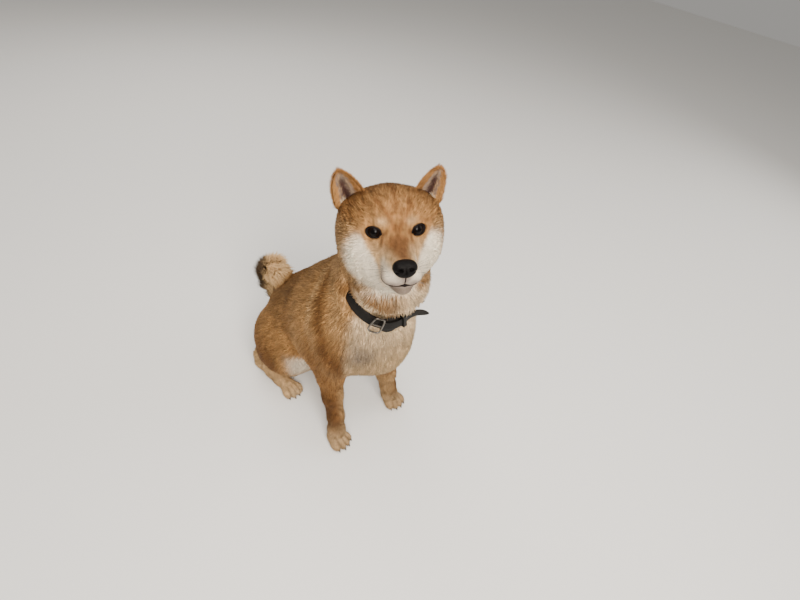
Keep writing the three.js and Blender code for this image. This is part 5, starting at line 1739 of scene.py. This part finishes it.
# Short hair on the back and rim, and longer pale hair that sweeps across the cup.
def earCoat(side, s):
    root, up, facing, wide, height = earAxes(s)
    place, faces = triangleArrays(ears[side])
    a, b, c = (place[faces[:, k]] for k in range(3))
    centre = place[faces].mean(1)
    across = unit(np.cross(b - a, c - a))
    local = toHead(centre) - root
    t = local @ up / height
    u = local @ wide / np.maximum(earHalf(t), 2)
    front = across @ headTurn @ facing > 0.1
    rim = (s * u > 0.52) | (t > 0.78) | (-s * u > 0.46)

    def grow(name, weight, way, colors):
        kind, low, high, thick, seed = earHair[name]
        seed += 0 if s > 0 else 10
        count = tuftCount(name)
        roots, chosen = scatter(place, faces, weight, count, seed)
        random = np.random.default_rng(seed + 1)
        normals = across[chosen]
        turn = 0.2 * latticeNoise(roots, 9, 8) + random.normal(0, 0.12, count)
        lie = swung(alongSkin(way[chosen], normals), normals, turn)
        length = random.uniform(low, high, count)
        width = random.uniform(0.7, 1.3, count) * thick * widening
        bright = 1 + 0.16 * random.normal(0, 1, count) + 0.16 * latticeNoise(roots, 4, 10)
        tips = colors[chosen] * bright[:, None]
        lift = np.radians(16 * random.uniform(0.6, 1.4, count))
        tufts = tuftArrays(roots, normals, lie, length, width, lift, tips, tips * 0.72)
        makeTufts(f"{name}_{side}", kind, tufts, seed + 2, free=True, sink=0.5)

    outer = laid(coatTones["red"] * 0.9, "deepRed", 0.45 + smoothstep(0.5, 0.9, t) * 0.35)
    # painted shade down the inner side of the ear's front rim, and a darker patch low on that side
    outer = laid(outer, "bridge", 0.5 * front * smoothstep(0.40, 0.62, -s * u) * smoothstep(0.75, 0.4, t))
    outer = laid(outer, "sable", 0.35 * smoothstep(0.35, 0.1, t) * (s * u < -0.5) * front)
    inwards = front & (np.abs(u) < 0.86) & (t < 0.9)
    fan = np.where(inwards, -0.55 * np.sign(u), 0.8 * np.clip(u, -1, 1))
    fan = fan * (0.7 + 0.6 * smoothstep(0.6, 0.9, t))
    tipWay = (up + fan[:, None] * wide) @ headTurn.T
    grow("ear_coat", np.where(front & ~rim, 0, 1.0), tipWay, outer)
    fringe = laid(outer * 1.05, "earFringe", smoothstep(0.62, 0.42, np.abs(u)))
    grow("ear_edge", np.where(inwards & (np.abs(u) > 0.36), 1.0, 0), tipWay, fringe)
    inside = front & (np.abs(u) < 0.6) & between(t, 0.02, 0.80)
    inward = np.sign(u)[:, None] * 0.35 * smoothstep(0.2, 0.7, np.abs(u))[:, None]
    sweep = (up[None] * 0.8 - wide[None] * inward) @ headTurn.T
    # the pale hair in the cup, darkened down its lower middle as painted shade
    pale = laid(coatTones["earDown"], "earDeep", bell((u - 0.1 * s, 0, 0.42)) * smoothstep(0.72, 0.5, t))
    pale = laid(pale, "earRoot", smoothstep(0.16, 0.04, t) * (s * u > 0.2))
    grow("ear_down", np.where(inside, 0.15 + 1.6 * np.abs(u), 0), sweep, pale)


for side, s in sides.items():
    earCoat(side, s)
report("tail and ears")

paint(skinMesh, markings(skinPoints) * (0.82 + 0.12 * latticeNoise(skinPoints, 6, 2))[:, None])
fleshKinds = ("torso", "neck", "head", "thigh", "foreleg", "hindleg", "forepaw", "hindpaw", "tail")
fleshNodes = [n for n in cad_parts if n.split("_")[0] in fleshKinds]
finishPiece(skinMesh, skinLook, fleshNodes)


# Collar.


# Rings across a band on the strap: a rounded rectangle, as powers of cos and sin; half may vary along it.
def strapBand(angles, inner, outer, half):
    angles = np.asarray(angles, float)
    half = np.broadcast_to(half, len(angles))
    a = np.linspace(0, 2 * np.pi, 24, endpoint=False)
    c, s = np.cos(a), np.sin(a)
    out = (inner + outer) / 2 + (outer - inner) / 2 * np.sign(c) * np.abs(c) ** 0.5
    up = np.sign(s) * np.abs(s) ** 0.22
    return strapPlace(angles[:, None], out[None], up[None] * half[:, None])


# A leather piece of the collar from rings of points.
def makeLeather(name, rings, node, closed=False):
    finishPiece(loft(name, rings, closed=closed), leatherLook, [node])


# A metal piece of the collar: a round bar along a line.
def makeFitting(name, line, radius, corners, node, closed=False):
    finishPiece(tube(name, line, radius, corners, closed), nickelLook, [node])


strap = {"inner": -2, "outer": 2, "half": 8.8}
pad = {"from": 34, "to": 2, "inner": 2.3, "outer": 4.5, "half": 14.5}
buckle = {"at": 40, "angle": 8, "half": 13.5, "out": tongue["outer"] + 2.0, "radius": 1.5}
prong = {"from": 45.8, "to": 34.2, "out": buckle["out"] - 0.1, "radius": 1.3}
leadRing = {"foot": 3.8, "reach": 21, "half": 8, "radius": 1.5}
keeper = {"from": -3, "to": -9, "low": -4.1, "middle": 2.8, "high": 9.7, "half": 12.1, "thickness": 1.7}


# Each piece lies along the strap: bands of leather, and round bars for the metal.
def makeCollar():
    around = -np.linspace(0, 360, 200, endpoint=False)
    rings = strapBand(around, strap["inner"], strap["outer"], strap["half"])
    makeLeather("collar_band", rings, "collar_strap", True)
    t = np.linspace(0.0, 1, 33)
    half = pad["half"] * np.sqrt(np.maximum(0.05, 1 - (2 * t - 1) ** 2))
    rings = strapBand(pad["from"] + (pad["to"] - pad["from"]) * t, pad["inner"], pad["outer"], half)
    makeLeather("collar_buckle_pad", rings, "collar_pad")
    # the loose end: along the strap first, then away from it to a rounded tip
    angles = np.linspace(tongue["from"], tongue["leaves"], 30)
    angles = np.append(angles, np.full(13, tongue["leaves"]))
    ahead = np.concatenate([np.zeros(30), np.linspace(0, 1, 14)[1:]])
    tip = np.sqrt(np.maximum(1 - ((ahead - 0.7) / 0.32) ** 2, 0.05))
    half = tongue["half"] * np.where(ahead > 0.7, tip, 1)
    rings = strapBand(angles, tongue["inner"], tongue["outer"], half)
    makeLeather("collar_loose_end", rings + tongueBend(ahead)[:, None], "collar_tongue")
    # the buckle's frame is a rounded rectangle, and its pin lies across the middle
    t = np.linspace(0, 2 * np.pi, 64, endpoint=False)
    across, upward = (np.sign(v) * np.abs(v) ** 0.45 for v in (np.cos(t), np.sin(t)))
    line = strapPlace(buckle["at"] + buckle["angle"] * across, buckle["out"], buckle["half"] * upward)
    makeFitting("collar_buckle_frame", line, buckle["radius"], 12, "collar_buckle", True)
    pin = strapPlace(np.linspace(prong["from"], prong["to"], 12), prong["out"], 0)
    makeFitting("collar_buckle_pin", pin, prong["radius"], 10, "collar_prong")
    # the lead ring: half an ellipse, closed by a straight bar on the strap
    t = np.linspace(-np.pi / 2, np.pi / 2, 30)
    foot, reach, half = leadRing["foot"], leadRing["reach"], leadRing["half"]
    bow = strapPlace(ringAngle, foot + (reach - foot) * np.cos(t), half * np.sin(t))
    base = strapPlace(ringAngle, foot, np.linspace(half, -half, 12)[1:-1])
    makeFitting("collar_lead_ring", np.vstack([bow, base]), leadRing["radius"], 12, "collar_ring", True)
    # the loop that keeps the loose end down: a square tube round the strap
    angles = np.linspace(keeper["from"], keeper["to"], 9)
    low, high, half = keeper["low"], keeper["high"], keeper["half"]
    corners = [(low, 0), (low, half), (high, half), (high, -half), (low, -half)]
    outer = [np.linspace(corners[k], corners[(k + 1) % 5], 8, endpoint=False) for k in range(5)]
    outer = np.concatenate(outer)
    inner = outer - np.sign(outer - [keeper["middle"], 0]) * keeper["thickness"]
    rings = [strapPlace(angles[:, None], outer[None, :, 0], outer[None, :, 1]),
             strapPlace(angles[::-1, None], inner[None, :, 0], inner[None, :, 1])]
    makeLeather("collar_loop", np.concatenate(rings), "collar_keeper", True)


makeCollar()
report("collar")


# Camera, floor and light.


# Puts a camera or lamp at a place in metres, its own x, y and z axes along three ways.
def addAt(name, data, place, right, up, back):
    added = bpy.data.objects.new(name, data)
    bpy.context.scene.collection.objects.link(added)
    rows = [[right[i], up[i], back[i], place[i]] for i in range(3)]
    added.matrix_world = Matrix(rows + [[0, 0, 0, 1]])
    return added


# The photograph's camera: the focal length in pixels times 36 mm over 800 pixels.
def makeCamera():
    data = bpy.data.cameras.new("camera")
    data.sensor_width = 36
    data.lens = camera["focal"] * 36 / 800
    data.clip_start, data.clip_end = 0.01, 50
    lens = addAt("camera", data, toFrame(camera["at"]), camera["right"], camera["up"], -camera["ahead"])
    bpy.context.scene.camera = lens


ground = {"half": 6, "below": 0.0005, "color": (0.80, 0.79, 0.77), "roughness": 0.9}  # sizes in metres


# A pale square, just under the dog.
def makeFloor():
    s = Shader("studio_floor")
    s.set(Base_Color=ground["color"], Roughness=ground["roughness"])
    half = ground["half"]
    corners = np.array([(-half, -half, 0), (half, -half, 0), (half, half, 0), (-half, half, 0)])
    corners = corners - [0, 0, ground["below"]]
    floor = makeMesh("floor", corners, np.array([(0, 1, 2, 3)]))
    floor.data.materials.append(s.material)


lights = {  # place, size, power and colour
    "key": ((-0.8, -1.6, 1.75), 1.1, 84, (1, 0.93, 0.84)),
    "top": ((-0.2, -0.3, 2.3), 1.4, 36, (1, 0.95, 0.88)),
    "fill": ((1.8, -0.9, 1.2), 1.6, 16, (1, 0.97, 0.93)),
    "back": ((0.4, 1.8, 1.6), 1.4, 16, (1, 0.96, 0.92)),
}


# A soft square lamp that looks at the middle of the dog.
def makeLight(name, place, size, power, color):
    data = bpy.data.lights.new(name, "AREA")
    data.size, data.energy, data.color = size, power, color
    back = unit(np.array(place) - [0, 0, 0.3])
    right = unit(np.cross([0, 0, 1], back))
    addAt(name, data, place, right, np.cross(back, right), back)


surround = {"color": (1, 0.97, 0.92, 1), "strength": 0.34}


# A weak even light from all round.
def makeWorld():
    world = bpy.data.worlds.new("studio")
    world.use_nodes = True
    background = world.node_tree.nodes["Background"].inputs
    background[0].default_value, background[1].default_value = surround["color"], surround["strength"]
    bpy.context.scene.world = world


makeCamera()
makeFloor()
for name, values in lights.items():
    makeLight(name, *values)
makeWorld()

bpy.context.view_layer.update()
report("done")
